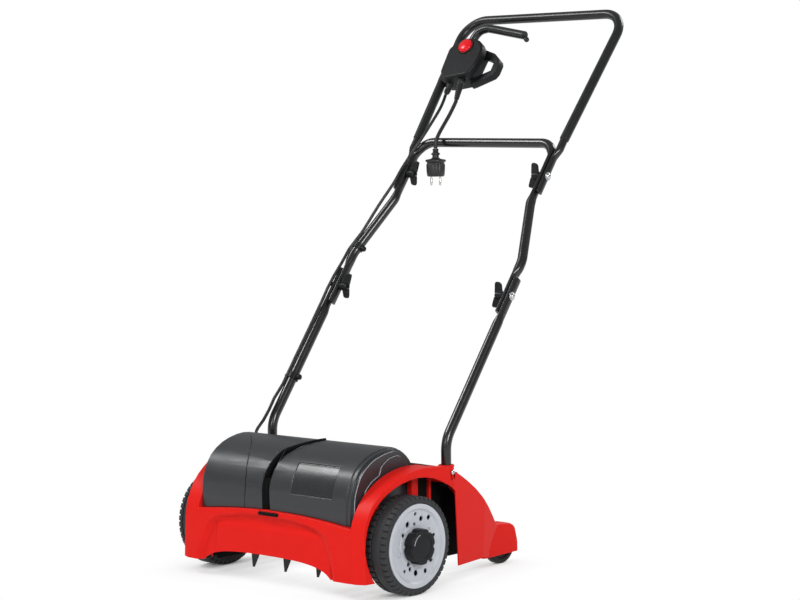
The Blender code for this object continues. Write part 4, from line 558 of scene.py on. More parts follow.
def carve(bm, *cutters, operation='DIFFERENCE'):
    """Cuts closed shapes out of a mesh, or joins them to it."""
    target = holder(bm, "work")
    tools = [holder(cutter, "tool") for cutter in cutters]
    for other in tools:
        step = target.modifiers.new("cut", 'BOOLEAN')
        step.operation = operation
        step.solver = 'EXACT'
        step.object = other
    mesh = bpy.data.meshes.new_from_object(target.evaluated_get(bpy.context.evaluated_depsgraph_get()))
    out = bmesh.new()
    out.from_mesh(mesh)
    for used in (target, *tools):
        bpy.data.meshes.remove(used.data)
    bpy.data.meshes.remove(mesh)
    return out


def rod(start, end, radius, count=24, top=None):
    """Round bar or cone between two points, as a mesh of its own."""
    start, end = Vector(start), Vector(end)
    bm = bmesh.new()
    turn = (end - start).to_track_quat('Z', 'Y').to_matrix().to_4x4()
    bmesh.ops.create_cone(bm, cap_ends=True, segments=count, radius1=radius,
                          radius2=radius if top is None else top, depth=(end - start).length,
                          matrix=Matrix.Translation((start + end) / 2) @ turn)
    return bm


def cross_rod(sign, y, z, start, end, radius, count=24, top=None):
    """Rod across one side, from one distance off the middle to another."""
    return rod((sign * start, y, z), (sign * end, y, z), radius, count, top)


# Pieces

class Piece:
    """Shared by the operators: each makes its pieces in the open scene."""
    bl_options = {'REGISTER', 'UNDO'}


class SCARIFIER_OT_studio(Piece, bpy.types.Operator):
    """Pale floor, soft lamps and the camera of the product view"""
    bl_idname = "scarifier.studio"
    bl_label = "Studio"

    def execute(self, context):
        bm = bmesh.new()
        bmesh.ops.create_grid(bm, x_segments=2, y_segments=2, size=14.0)
        floor = linked("floor", baked(bm, "floor"))
        floor.data.materials.append(self.paper())
        self.sky(context.scene)
        for name, (where, aim, size, power) in LAMPS.items():
            lamp = bpy.data.lights.new(name, 'AREA')
            lamp.shape, lamp.size, lamp.energy = 'DISK', size, power
            made = linked(name, lamp)
            made.location = where
            made.rotation_euler = (Vector(aim) - Vector(where)).to_track_quat('-Z', 'Y').to_euler()
        view = bpy.data.cameras.new("product_view")
        view.lens = VIEW_LENS
        view.sensor_width = 36.0
        view.shift_x, view.shift_y = VIEW_SHIFT
        view.clip_start, view.clip_end = 0.05, 60.0
        made = linked("product_view", view)
        turn = Matrix((VIEW_RIGHT, VIEW_UP, VIEW_RIGHT.cross(VIEW_UP))).transposed().to_4x4()
        made.matrix_world = Matrix.Translation(row(VIEW_FROM)) @ turn
        context.scene.camera = made
        context.scene.view_settings.view_transform = 'Standard'
        return {'FINISHED'}

    def paper(self):
        """White floor of the product view."""
        made = bpy.data.materials.new("white_paper_sweep")
        tree = blank(made)
        # Matt paper to the lamps, plain white to the camera and to glossy rays, with the soft
        # contact shadow kept by an ambient-occlusion weight
        place = add(tree, 'ShaderNodeTexCoord')
        fibre = add(tree, 'ShaderNodeTexNoise', {"Vector": (place, "Object"), "Scale": 300.0, "Detail": 3.0})
        tint = add(tree, 'ShaderNodeMix',
                   {"Factor": (fibre, "Fac"), "A": (0.8, 0.8, 0.8, 1.0), "B": (0.84, 0.84, 0.84, 1.0)},
                   data_type='RGBA')
        paper = add(tree, 'ShaderNodeBsdfPrincipled', {"Base Color": (tint, "Result"), "Roughness": 0.9})
        glow = add(tree, 'ShaderNodeEmission', {"Color": (1.0, 1.0, 1.0, 1.0), "Strength": 1.0})
        near = add(tree, 'ShaderNodeAmbientOcclusion', {"Distance": 0.1}, samples=8)
        ray = add(tree, 'ShaderNodeLightPath')
        reach = add(tree, 'ShaderNodeMath', {0: (near, "AO"), 1: 0.6}, operation='POWER')
        seen = add(tree, 'ShaderNodeMath', {0: (ray, "Is Camera Ray"), 1: (ray, "Is Glossy Ray")},
                   operation='MAXIMUM')
        share = add(tree, 'ShaderNodeMath', {0: (seen, "Value"), 1: (reach, "Value")}, operation='MULTIPLY')
        mix = add(tree, 'ShaderNodeMixShader',
                  {0: (share, "Value"), 1: (paper, "BSDF"), 2: (glow, "Emission")})
        add(tree, 'ShaderNodeOutputMaterial', {"Surface": (mix, "Shader")})
        return made

    def sky(self, scene):
        """Soft light all round, and white to the camera."""
        world = bpy.data.worlds.new("studio")
        scene.world = world
        tree = blank(world)
        ray = add(tree, 'ShaderNodeLightPath')
        soft = add(tree, 'ShaderNodeBackground', {"Color": (1.0, 1.0, 1.0, 1.0), "Strength": 0.36})
        white = add(tree, 'ShaderNodeBackground', {"Color": (1.0, 1.0, 1.0, 1.0), "Strength": 1.0})
        mix = add(tree, 'ShaderNodeMixShader',
                  {0: (ray, "Is Camera Ray"), 1: (soft, "Background"), 2: (white, "Background")})
        add(tree, 'ShaderNodeOutputWorld', {"Surface": (mix, "Shader")})


class SCARIFIER_OT_leads(Piece, bpy.types.Operator):
    """Mains lead with its plug, and the motor cable down the left bars"""
    bl_idname = "scarifier.leads"
    bl_label = "Leads"

    def execute(self, context):
        self.mains_lead()
        self.motor_cable()
        return {'FINISHED'}

    def mains_lead(self):
        """Short lead that hangs from the switch box, with its relief and plug."""
        seat, hang = relief_seat()
        top = seat + hang * GAP
        end = top + hang * RELIEF_LENGTH
        # Rubber sleeve that tapers to the cord, with its flexing grooves
        profile = [(0, RELIEF_LENGTH), (0.0082, RELIEF_LENGTH), (0.0084, RELIEF_LENGTH - 0.001),
                   (0.0084, RELIEF_LENGTH - 0.007)]
        for k in range(8):
            h, r = 0.0385 - 0.0046 * k, 0.0077 - 0.00032 * k
            profile += [(r - 0.0013, h), (r - 0.0013, h - 0.0014), (r, h - 0.0018), (r - 0.0001, h - 0.0042)]
        bm = turned(profile + [(0.0052, 0.0), (0, 0)], end, -hang, 32)
        settle(bm, "ribbed_strain_relief", "moulded_plug_rubber", "upper_handle",
               ["strain_relief"], edge=0.0002)
        drop = end + Vector(PLUG_DROP)
        pieces = self.plug(drop)
        start = end + hang * GAP
        route = [start, start + hang * 0.005, start + hang * 0.01]
        route += [drop + Vector(p) for p in (
            (0.0, 0.0455, 0.0695), (0.0, 0.0285, 0.0505), (0.0, 0.0135, 0.0335), (0.0, 0.002, 0.0175),
            (0.0, 0.0003, 0.008), (0.0, 0.0, GAP))]
        points = [row(p) for p in smooth(route, 4)]
        curve = bpy.data.curves.new("mains_flex", 'CURVE')
        curve.dimensions = '3D'
        curve.bevel_depth = CORD
        curve.bevel_resolution = 6
        curve.use_fill_caps = True
        spline = curve.splines.new('POLY')
        spline.points.add(len(points) - 1)
        for point, p in zip(spline.points, points):
            point.co = (*p, 1.0)
        curve.materials.append(finish("rubber_flex"))
        made = linked("mains_flex", curve)
        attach(made, "upper_handle")
        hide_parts("mains_cord")

    def plug(self, drop):
        """Two-pin coupling plug: ribbed neck, finger flange and a tapered grip."""
        z = PLUG_LENGTH
        profile = [(0, z), (0.0056, z), (0.0064, z - 0.001)]
        for k in range(3):
            h = z - 0.0022 * (k + 1)
            profile += [(0.0064, h + 0.0004), (0.0055, h), (0.0055, h - 0.0008), (0.0066, h - 0.0012)]
        profile += [
            (0.0088, z - 0.0098), (0.0092, z - 0.0108), (0.0092, z - 0.012), (0.0086, z - 0.0128),
            (0.0066, z - 0.0135), (0.007, z - 0.018), (0.01, z - 0.0208), (0.0198, z - 0.0226),
            (0.0212, z - 0.0236), (0.0215, z - 0.0248), (0.0212, z - 0.0262), (0.0196, z - 0.0276),
            (0.018, z - 0.029), (0.0182, z - 0.031), (0.0196, z - 0.033), (0.0192, 0.012), (0.0182, 0.0022),
            (0.0168, 0.0), (0, 0)]
        foot = drop - Vector((0, 0, z))
        bm = turned(profile, foot, (0, 0, 1), 72)
        for v in bm.verts:
            flat = Vector((v.co.x - foot.x, v.co.y - foot.y))
            high = v.co.z - foot.z
            if 0.001 < high < z - 0.0295 and flat.length > 0.012:
                turn = math.atan2(flat.y, flat.x)
                flat *= 1 - 0.075 * max(0.0, math.cos(12 * turn)) * min(1.0, high / 0.008)
                v.co.x, v.co.y = foot.x + flat.x, foot.y + flat.y
        pieces = [settle(bm, "coupling_plug", "moulded_plug_rubber", "upper_handle",
                         ["mains_plug"], sharp=40)]
        for sign, side in sides():
            pin = foot + Vector((0.0086 * sign, 0.004 * sign, 0.0))
            bm = turned([(0, -0.019), (0.0012, -0.0188), (0.002, -0.018), (0.0024, -0.0168), (0.0024, -0.006),
                         (0.0022, -0.0056), (0.0022, -0.002), (0.0024, -0.0016), (0.0024, -GAP), (0, -GAP)],
                        pin, (0, 0, 1), 24)
            pieces.append(settle(bm, "contact_pin_" + side, "nickel_plate", "upper_handle",
                                 ["plug_pin_" + side]))
        return pieces

    def motor_cable(self):
        """Cable from the switch box to the deck, over both folds."""
        gx, gn = GLAND
        foot = BASE_FOOT - GLAND_LENGTH
        gland_top = Vector((-0.2235, 0.079, 0.247))
        route = [on_box(gx, foot - GAP, gn), on_box(gx, foot - 0.003, gn), on_box(gx, foot - 0.006, gn)]
        for x, stretch in (
                (UPPER_X, ((0.0325, 0.785, 0.0095), (0.0365, 0.76, 0.013), (0.0345, 0.725, 0.0155),
                           (0.0285, 0.685, 0.0165), (0.0185, 0.645, 0.0155), (0.0115, 0.605, 0.016))),
                (MIDDLE_X, ((0.0355, 0.57, 0.0155), (0.0215, 0.515, 0.014), (0.0095, 0.455, 0.012),
                            (0.0031, 0.4338, 0.0118), (-0.0036, 0.4126, 0.0118), (-0.0055, 0.403, 0.012))),
                (LOWER_X, ((0.0002, 0.37, 0.0135), (-0.0028, 0.3234, 0.016), (-0.0038, 0.275, 0.014),
                           (-0.0053, 0.2, 0.0125), (-0.0058, 0.14, 0.0122), (-0.006, 0.118, 0.0118),
                           (-0.006, 0.092, 0.0118), (-0.0058, 0.075, 0.0122)))):
            route += [on_handle(-x + out, s, n) for out, s, n in stretch]
        route += [Vector((-LOWER_X + out, y, z))
                  for out, y, z in ((-0.0056, 0.1435, 0.315), (-0.003, 0.118, 0.283), (0.003, 0.088, 0.262))]
        route += [gland_top + Vector((0, 0.001, 0.008)), gland_top + Vector((0, 0, GAP))]
        whole = smooth(route, 3)
        # The clip on the middle bar parts the cable in two, one length across each fold
        for name, path, bodies, joint, x in (
                ("motor_flex_upper", whole[:40], ("upper_handle", "middle_handle"), UPPER_JOINT, -UPPER_X),
                ("motor_flex_lower", whole[39:46] + whole[47::2], ("middle_handle", "chassis"), LOWER_JOINT,
                -LOWER_X)):
            bm = drawn(path, (CABLE, CABLE), FRONT, 16)
            made = settle(bm, name, "rubber_flex", None, ["motor_cable"], sharp=60)
            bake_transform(made)
        bm = turned([(0, 0), (0.0046, 0), (0.0052, -0.0008), (0.0054, -0.004), (0.006, -0.0078),
                     (0.006, -0.009), (0.008, -0.0094), (0.0086, -0.0102), (0.0086, -0.018), (0, -0.018)],
                    gland_top, (0, 0, 1), 32)
        settle(bm, "deck_grommet", "moulded_plug_rubber", "chassis", ["deck_gland"],
               edge=0.0003)


class SCARIFIER_OT_deck(Piece, bpy.types.Operator):
    """Red deck moulding with its wheel arches, sockets and rear pods"""
    bl_idname = "scarifier.deck"
    bl_label = "Deck"

    def execute(self, context):
        edge = context.scene.scarifier_sizes.edge
        bm = node_copy("deck", weld=0.0001)
        # The pods are cut off behind the rear wall and modelled rounder
        out = bmesh.ops.bisect_plane(bm, geom=bm.verts[:] + bm.edges[:] + bm.faces[:], dist=MERGE,
                                     plane_co=(0, DECK_REAR + 0.0003, 0), plane_no=(0, 1, 0),
                                     clear_outer=True)
        bmesh.ops.edgeloop_fill(bm, edges=[g for g in out["geom_cut"] if isinstance(g, bmesh.types.BMEdge)])
        line = [p for p in smooth(DECK_SIDE, 2) if p.x < 0 and p.y < 0.15]
        front = slab([(-0.16, 0.0), (line[0].x + 0.0105, 0.0)] + [(p.x + 0.0105, p.y)
                                                                  for p in line] + [(-0.16, line[-1].y)],
                     -0.199, 0.199, side_on(0))
        xs = [-0.21 + 0.42 * k / 24 for k in range(25)]
        under = slab([(-0.21, 0.0), (0.21, 0.0)] + [(x, self.ledge(x) - 0.004) for x in reversed(xs)], -0.2,
                     0.2, Matrix.Rotation(math.pi / 2, 4, 'X'))
        bm = carve(bm, carve(front, under, operation='INTERSECT'))
        arcs = []
        for sign, side in sides():
            for outline, inner in ((ARC, 0.1992), (NOTCH, 0.164)):
                arcs.append(side_slab(sign, outline, inner, 0.26))
        bm = carve(bm, *arcs)
        for v in bm.verts:
            # Rear slope a little fuller, and the rear edge of the wheel arch leaning forwards
            if abs(v.co.y - 0.1405) < 0.0006 and abs(v.co.x) > 0.206:
                v.co.y += 0.0045 - (v.co.z - 0.031) * 0.056
            elif v.co.y > 0.14:
                v.co.y += 0.0075 * ease(v.co.y, 0.14, 0.23) * ease(v.co.z, 0.03, 0.09)
            elif v.co.y < -0.05 and abs(v.co.x) > 0.206:
                v.co.x += math.copysign(0.006 * ease(-v.co.z, -0.16, -0.03), v.co.x)
        # Faces in the deck's shaded inside take painted shade black
        for face in bm.faces:
            if self.inside(face.calc_center_median(), face.normal):
                face.material_index = 1
        settle(bm, "deck_moulding", ("moulded_red_polypropylene", "black_liner_polypropylene"), "chassis",
               ["deck"], edge=edge)
        self.apron()
        for sign, side in sides():
            self.liner(sign, side)
            self.pod(sign, side)
            self.collar(sign, side)
        return {'FINISHED'}

    def ledge(self, x):
        """Height of the arched ledge under the hood."""
        return 0.129 + 0.0125 * max(1 - (x / 0.1955) ** 2, 0.0)

    def apron(self):
        """Front skin whose middle is dished behind broad S-shaped flanks."""
        line = smooth(DECK_SIDE, 2)
        edge = [Vector((APRON_X + x, z)) for x, z in PANEL]
        edge += [Vector((APRON_X - x, z)) for x, z in PANEL[-2::-1]]
        bm = bmesh.new()
        bmesh.ops.create_grid(bm, x_segments=180, y_segments=48, size=1.0)
        for v in bm.verts:
            x, t = v.co.x * APRON_HALF, (v.co.y + 1) / 2
            reach = abs(x - APRON_X) / 0.17
            foot = 0.031
            if reach < 1:
                foot = max(foot, 0.02 + 0.037 * (1 - reach ** 3) ** 0.4)
            z = foot + (self.ledge(x) - 0.0012 - foot) * t
            for a, b in zip(line, line[1:]):
                if a.y <= z <= b.y:
                    y = a.x + (b.x - a.x) * (z - a.y) / (b.y - a.y)
                    break
            near, inner = 1.0, False
            p = Vector((x, z))
            for a, b in zip(edge, edge[1:]):
                run = b - a
                k = max(0.0, min(1.0, (p - a).dot(run) / run.length_squared))
                near = min(near, (p - a - run * k).length)
                if (a.y > z) != (b.y > z) and x < a.x + (z - a.y) * (b.x - a.x) / (b.y - a.y):
                    inner = not inner
            # Shallower where the blades pass behind
            room = max(ease(abs(x), 0.148, 0.156), ease(z, 0.1, 0.116))
            depth = (0.0052 + 0.0036 * room) * ease(near, 0.0, 0.0115) if inner or z < 0.02 else 0.0
            v.co = (x, y - 0.00015 + depth, z)
        raised = bmesh.ops.extrude_face_region(bm, geom=bm.faces[:])["geom"]
        bmesh.ops.translate(bm, vec=(0, APRON_SKIN, 0),
                            verts=[g for g in raised if isinstance(g, bmesh.types.BMVert)])
        settle(bm, "apron_skin", "moulded_red_polypropylene", "chassis", sharp=50)

    def inside(self, p, normal):
        """Whether a face of the deck lies in its shaded inside, where it is painted black as painted shade.
        """
        if not -0.1 < p.y < DECK_REAR - 0.0012 + 0.0075 * ease(p.z, 0.03, 0.09) or p.z < 0.0325:
            return False
        if p.y < 0.112 and (abs(p.x) > 0.199 or p.z > 0.12):
            return False
        if abs(p.y - 0.1405) < 0.007 and abs(p.x) > 0.236 or p.y > 0.27 and normal.y > 0.5:
            return False
        tops = smooth(DECK_SIDE, 4)
        for low, high in zip(tops, tops[1:]):
            if low.x <= p.y <= high.x and low.x > -0.08:
                skin = 0.006 if normal.z > 0.2 else 0.0021
                if p.z > low.y + (high.y - low.y) * (p.y - low.x) / (high.x - low.x) - skin:
                    return False
        if p.y < 0.235:
            wide = 0.247 - 0.015 * max(p.y - 0.14, 0) / 0.095
        else:
            wide = 0.232 - 0.019 * (p.y - 0.235) / 0.05
        return abs(p.x) < wide - 0.0012 and not (p.y > 0.262 and abs(p.x) > 0.199 and normal.y > 0.3)

    def liner(self, sign, side):
        """Black sheet behind the wheel arch's ribs: painted shade where the arch lies in shadow."""
        bm = side_slab(sign, [(0.0702, 0.15), (0.1038, 0.15), (0.1038, 0.218), (0.0702, 0.221)], 0.203,
                       0.2042)
        side_slab(sign, [(0.1102, 0.019), (0.148, 0.019), (0.148, 0.19), (0.14, 0.206), (0.1102, 0.215)],
                  0.199, 0.2004, bm=bm)
        # Its folds leave only the front of each rib red, the rest in painted shade
        for low, high, top, out in ((0.0612, 0.0705, 0.2215, 0.2089), (0.1052, 0.1104, 0.2165, 0.2064)):
            side_slab(sign, [(low, 0.15), (high, 0.15), (high, top), (low, top)], 0.203, out, bm=bm)
        settle(bm, "painted_shade_sheet_" + side, "black_liner_polypropylene", "chassis")

    def pod(self, sign, side):
        """Rounded pod over a rear wheel, on a narrower neck."""
        inner, outer = POD_X
        hull = [(0.279, 0.0), (0.385, 0.0), (0.385, 0.04), (0.376, 0.0715), (0.36, 0.0795), (0.32, 0.0835),
                (0.299, 0.082), (0.286, 0.066), (0.2795, 0.042)]
        bm = side_slab(sign, hull, inner, outer, 0.0035, 0.011, corner=0.006, segments=6)
        neck = side_slab(sign, [(0.26, 0.044), (0.32, 0.03), (0.32, 0.08), (0.26, 0.083)], inner + 0.001,
                         outer - 0.009, 0.005, 0.005)
        bm = carve(bm, neck, operation='UNION')
        reach = REAR_WHEEL + 0.0022
        arch = [(REAR_Y + reach * math.cos(math.radians(a)), REAR_WHEEL + reach * math.sin(math.radians(a)))
                for a in range(0, 181, 6)]
        half = REAR_WIDTH / 2 + 0.001
        cavity = side_slab(sign, arch + [(REAR_Y - reach, -0.02), (REAR_Y + reach, -0.02)], REAR_X - half,
                           REAR_X + half)
        bm = carve(bm, cavity)
        out = bmesh.ops.bisect_plane(bm, geom=bm.verts[:] + bm.edges[:] + bm.faces[:], dist=MERGE,
                                     plane_co=(0, 0.33, 0.0195), plane_no=(0, 0.02, -1), clear_outer=True)
        bmesh.ops.holes_fill(bm, edges=[g for g in out["geom_cut"] if isinstance(g, bmesh.types.BMEdge)])
        bm.normal_update()
        # Faces deep in the wheel's cavity take painted shade black
        for face in bm.faces:
            p = face.calc_center_median()
            deep = math.hypot(p.y - REAR_Y, p.z - REAR_WHEEL) < reach + 0.0004
            if deep and abs(p.x) < REAR_X + half + 0.0002 and p.z > 0.0215:
                face.material_index = 1
        settle(bm, "wheel_pod_" + side, ("moulded_red_polypropylene", "black_liner_polypropylene"), "chassis",
               edge=0.0006)

    def collar(self, sign, side):
        """Beaded sleeve of the bar socket, slit for its clamping screw."""
        bm = turned([
            (0.0104, SOCKET_TOP + 0.0004), (0.0146, SOCKET_TOP + 0.0004), (0.0153, SOCKET_TOP - 0.0006),
            (0.0153, SOCKET_TOP - 0.003), (0.0147, SOCKET_TOP - 0.0042), (0.0147, 0.208), (0.0152, 0.203),
            (0.0166, 0.199), (0.0192, 0.1958), (0.0104, 0.194)], (sign * LOWER_X, BEND_Y, 0), (0, 0, 1), 48)
        turn = math.radians(-8 if sign > 0 else 188)
        place = Matrix.Translation((sign * LOWER_X, BEND_Y, 0)) @ Matrix.Rotation(turn, 4, 'Z') @ side_on(0)
        slit = slab([(-0.0011, 0.193), (0.0011, 0.193), (0.0011, 0.209), (-0.0011, 0.209)], 0.0, 0.03, place)
        bm = carve(bm, slit, cross_rod(sign, BEND_Y, SOCKET_SCREW, LOWER_X + 0.01, LOWER_X + 0.03, 0.003))
        settle(bm, "socket_collar_" + side, "moulded_red_polypropylene", "chassis", edge=0.0004)
        head = LOWER_X + SOCKET + GAP
        bm = turned([(0, 0.0036), (0.0014, 0.0036), (0.003, 0.0031), (0.0041, 0.0022), (0.0047, 0.001),
                     (0.0047, 0.0002), (0.0022, 0.0002), (0.0022, -0.019), (0, -0.019)],
                    (sign * (head + 0.0008), BEND_Y, SOCKET_SCREW), (sign, 0, 0), 32)
        cut = [(BEND_Y + y, SOCKET_SCREW + z)
               for y, z in ((-0.0005, -0.0035), (0.0005, -0.0035), (0.0005, 0.0035), (-0.0005, 0.0035))]
        bm = carve(bm, side_slab(sign, cut, head + 0.0032, head + 0.02))
        settle(bm, "clamp_screw_" + side, "bright_chrome", "chassis", ["socket_screw_" + side])


class SCARIFIER_OT_hood(Piece, bpy.types.Operator):
    """Dark grey hood over the motor, its intake groove, bare plate and latch"""
    bl_idname = "scarifier.hood"
    bl_label = "Hood"

    def execute(self, context):
        bm = node_copy("hood", weld=0.0001)
        way = smooth([(-0.025, -0.096, 0.11), (-0.0262, -0.0948, 0.145), (-0.0284, -0.093, 0.183),
                      (-0.027, -0.0805, 0.216), (-0.02, -0.0545, 0.242), (-0.009, -0.033, 0.252),
                      (0.002, -0.013, 0.2585), (0.009, 0.01, 0.263), (0.014, 0.03, 0.266)], 8)
        for face in bm.faces:
            p = face.calc_center_median()
            # The bare plate at the front is polished
            xs, ys, zs = zip(*(v.co for v in face.verts))
            if min(xs) > 0.0358 and max(xs) < 0.1422 and min(zs) > 0.1772 and max(ys) < -0.064:
                face.material_index = 2
            # Faces along the groove take painted shade black
            near = min(range(len(way)), key=lambda i: (way[i] - p).length)
            reach = 0.011 * (1 - 0.45 * near / (len(way) - 1))
            beside = abs(p.x - way[near].x)
            if (way[near] - p).length < reach * 1.04 and beside < reach * (1.2 - 0.9 * near / len(way)):
                face.material_index = 1
        for v in bm.verts:
            v.co = self.crowned(v.co)
            if v.co.x < -0.19:
                v.co.x -= 0.0032
        settle(bm, "hood_moulding", ("spark_eroded_grey_abs", "slot_black_abs", "polished_grey_abs"),
               "chassis", ["hood"], edge=context.scene.scarifier_sizes.edge)
        # The latch takes painted shade black
        bm = node_copy("hood_latch")
        settle(bm, "latch_lip", "slot_black_abs", "chassis", ["hood_latch"], edge=0.0016,
               steps=4)
        # Painted shade: a black line down the groove, narrowing over the crown
        line, sizes = [], []
        for i in range(len(way) // 3, len(way)):
            line.append(way[i] - Vector((0, way[i].y, way[i].z - 0.15)).normalized() * 0.0026)
            sizes.append((0.0098 * (1.5 - 1.5 * i / (len(way) - 1)) ** 0.8 + 0.0016, 0.003))
        bm = drawn([self.crowned(q) for q in line], sizes, (1, 0, 0), 10)
        settle(bm, "groove_painted_shade", "slot_black_abs", "chassis")
        # Hairline where two halves of the hood meet
        seam = smooth([(-0.0843, -0.0943, 0.1404), (-0.0829, -0.0918, 0.1863), (-0.0914, -0.0786, 0.2174),
                       (-0.0991, -0.0659, 0.2321), (-0.1246, -0.0329, 0.2514), (-0.1581, 0.0, 0.2599)], 6)
        seam = [self.crowned(p) for p in seam]
        bm = drawn(seam, (0.0006, 0.0006), (1, 0, 0), 8)
        settle(bm, "hood_seam", "slot_black_abs", "chassis")
        # Painted highlights: light beads along the steps of the right end, where their edges catch the light
        for name, x, line in (
                ("outer", 0.1952, ((-0.0915, 0.136), (-0.0905, 0.178), (-0.0836, 0.2017), (-0.0682, 0.2262),
                                   (-0.038, 0.2464), (-0.002, 0.257), (0.02, 0.259))),
                ("boss", 0.1973, ((-0.0667, 0.15), (-0.0652, 0.17), (-0.0602, 0.193), (-0.0422, 0.2087),
                                  (-0.0212, 0.2182), (-0.0152, 0.2312), (0.0068, 0.2437), (0.031, 0.2472)))):
            path = smooth([(x, y, z) for y, z in line], 6 if name == "outer" else 3)
            for q in path:
                if name == "outer":
                    q.y, q.z = q.y * 0.962, 0.15 + (q.z - 0.15) * 0.962
                q.z = self.crowned(q).z
            bm = drawn(path, (0.0004, 0.0004), (1, 0, 0), 8)
            settle(bm, "painted_highlight_bead_" + name, "silver_grey_polypropylene", "chassis")
        return {'FINISHED'}

    def crowned(self, p):
        """The hood's crown rises a little to the right."""
        return Vector((p.x, p.y, p.z + (0.0025 + 0.006 * p.x) * ease(p.z, 0.19, 0.255)))


class SCARIFIER_OT_front_wheels(Piece, bpy.types.Operator):
    """Treaded tyres on scattered-hole rims, with the lobed depth knobs"""
    bl_idname = "scarifier.front_wheels"
    bl_label = "Front wheels"

    def execute(self, context):
        for sign, side in sides():
            self.tyre(context.scene.scarifier_sizes, sign, side)
            self.rim(sign, side)
            self.shade_disc(sign, side)
            self.knob(sign, side)
            bm = node_copy("depth_axle_" + side)
            settle(bm, "depth_arm_" + side, "zinc_plate", "depth_adjuster_" + side,
                   ["depth_axle_" + side], edge=0.0005)
        return {'FINISHED'}

    def tyre(self, sizes, sign, side):
        """Tyre with two staggered rows of blocks raised from its tread."""
        w, seat, floor = WHEEL_WIDTH, RIM_SEAT + GAP, WHEEL - sizes.tread_depth
        profile = [
            (RIM + GAP, w - 0.0024), (0.0796, w - 0.0008), (0.0812, w - 0.0006), (0.0824, w - 0.0014),
            (0.085, w - 0.0012), (floor - 0.0012, w - 0.0026), (floor, w - 0.006), (floor, w - 0.013),
            (WHEEL - 0.001, w - 0.0142), (WHEEL, w - 0.016), (WHEEL, 0.0205), (WHEEL - 0.001, 0.019),
            (floor, 0.018), (floor, 0.0162), (floor, 0.006), (floor - 0.0012, 0.0026), (0.085, 0.0008),
            (0.08, 0.0004), (seat + 0.001, 0.0012), (seat, 0.0025), (seat, w - 0.0046),
            (RIM + GAP, w - 0.004)]
        steps = 4 * sizes.tread_blocks
        bm = turned(profile, (sign * WHEEL_INNER, 0, WHEEL), (sign, 0, 0), steps)
        bm.faces.ensure_lookup_table()
        # Two rows of blocks, three steps of four long, the inner one half a block on
        for low, high, shift in ((w - 0.0128, w - 0.0012, 0), (0.0008, 0.0162, 2)):
            blocks = []
            for face in bm.faces:
                p = face.calc_center_median()
                out, r = abs(p.x) - WHEEL_INNER, math.hypot(p.y, p.z - WHEEL)
                k = int((math.degrees(math.atan2(p.z - WHEEL, p.y)) % 360) / 360 * steps)
                if low < out < high and r > floor - 0.0026 and (k + shift) % 4 < 3:
                    blocks.append(face)
            raised = bmesh.ops.extrude_face_region(bm, geom=blocks)["geom"]
            for v in raised:
                if isinstance(v, bmesh.types.BMVert):
                    r = math.hypot(v.co.y, v.co.z - WHEEL)
                    grown = min(WHEEL, r + sizes.tread_depth)
                    v.co.y *= grown / r
                    v.co.z = WHEEL + (v.co.z - WHEEL) * grown / r
        settle(bm, "treaded_tyre_" + side, "tyre_rubber", "front_wheel_" + side, ["tyre_" + side],
               sharp=40, edge=0.0005)

    def rim(self, sign, side):
        """Dished rim with a hub and scattered holes."""
        w = WHEEL_WIDTH
        profile = [
            (RIM - 0.0004, w - 0.0004), (RIM, w - 0.001), (RIM, w - 0.0038), (RIM_SEAT, w - 0.0046),
            (RIM_SEAT, 0.003), (0.0715, 0.003), (0.0715, 0.043), (0.042, 0.04), (0.0135, 0.04),
            (0.0135, -0.004), (0.0065, -0.004), (0.0065, 0.0435), (0.034, 0.0435), (0.0355, 0.0444),
            (0.04, 0.0444), (0.0415, 0.0432), (0.064, 0.045), (0.0664, 0.0462), (0.068, 0.048),
            (0.0692, w - 0.0012), (0.0702, w - 0.0004), (0.074, w - 0.0002)]
        bm = turned(profile, (sign * WHEEL_INNER, 0, WHEEL), (sign, 0, 0), 96)
        # Blind and open holes of unlike size: angle from the rear, radius out, size, depth
        cutters = []
        for angle, radius, size, deep in (
                (89, 0.0593, 0.0034, 0.012), (70, 0.0516, 0.005, 0.012), (52, 0.0612, 0.0046, 0.012),
                (115, 0.046, 0.0058, 0.005), (91, 0.04, 0.0036, 0.012), (144, 0.0391, 0.0042, 0.005),
                (142, 0.055, 0.0034, 0.003), (174, 0.0462, 0.003, 0.0016), (-166, 0.0452, 0.0056, 0.004),
                (-120, 0.0372, 0.0044, 0.012), (-108, 0.044, 0.0042, 0.012), (-124, 0.0526, 0.0036, 0.004),
                (-88, 0.051, 0.0056, 0.012), (-61, 0.0578, 0.0046, 0.005), (-36, 0.0546, 0.0046, 0.005),
                (-14, 0.048, 0.003, 0.003), (14, 0.054, 0.004, 0.004), (33, 0.047, 0.0032, 0.004)):
            t = math.radians(angle)
            y, z = radius * math.cos(t), WHEEL + radius * math.sin(t)
            cutters.append(cross_rod(sign, y, z, WHEEL_INNER + 0.0448 - deep, WHEEL_INNER + 0.053,
                                     size * 0.94, 20, size * 1.06))
        bm = carve(bm, *cutters)
        settle(bm, "dished_rim_" + side, "silver_grey_polypropylene", "front_wheel_" + side,
               ["rim_" + side], edge=0.0005)

    def shade_disc(self, sign, side):
        """Dark disc behind the rim's web: painted shade seen through its holes."""
        bm = turned([(0.014, 0.0375), (0.07, 0.0375), (0.07, 0.0383), (0.014, 0.0383)],
                    (sign * WHEEL_INNER, 0, WHEEL), (sign, 0, 0), 64)
        settle(bm, "painted_shade_disc_" + side, "slot_black_abs", "front_wheel_" + side)

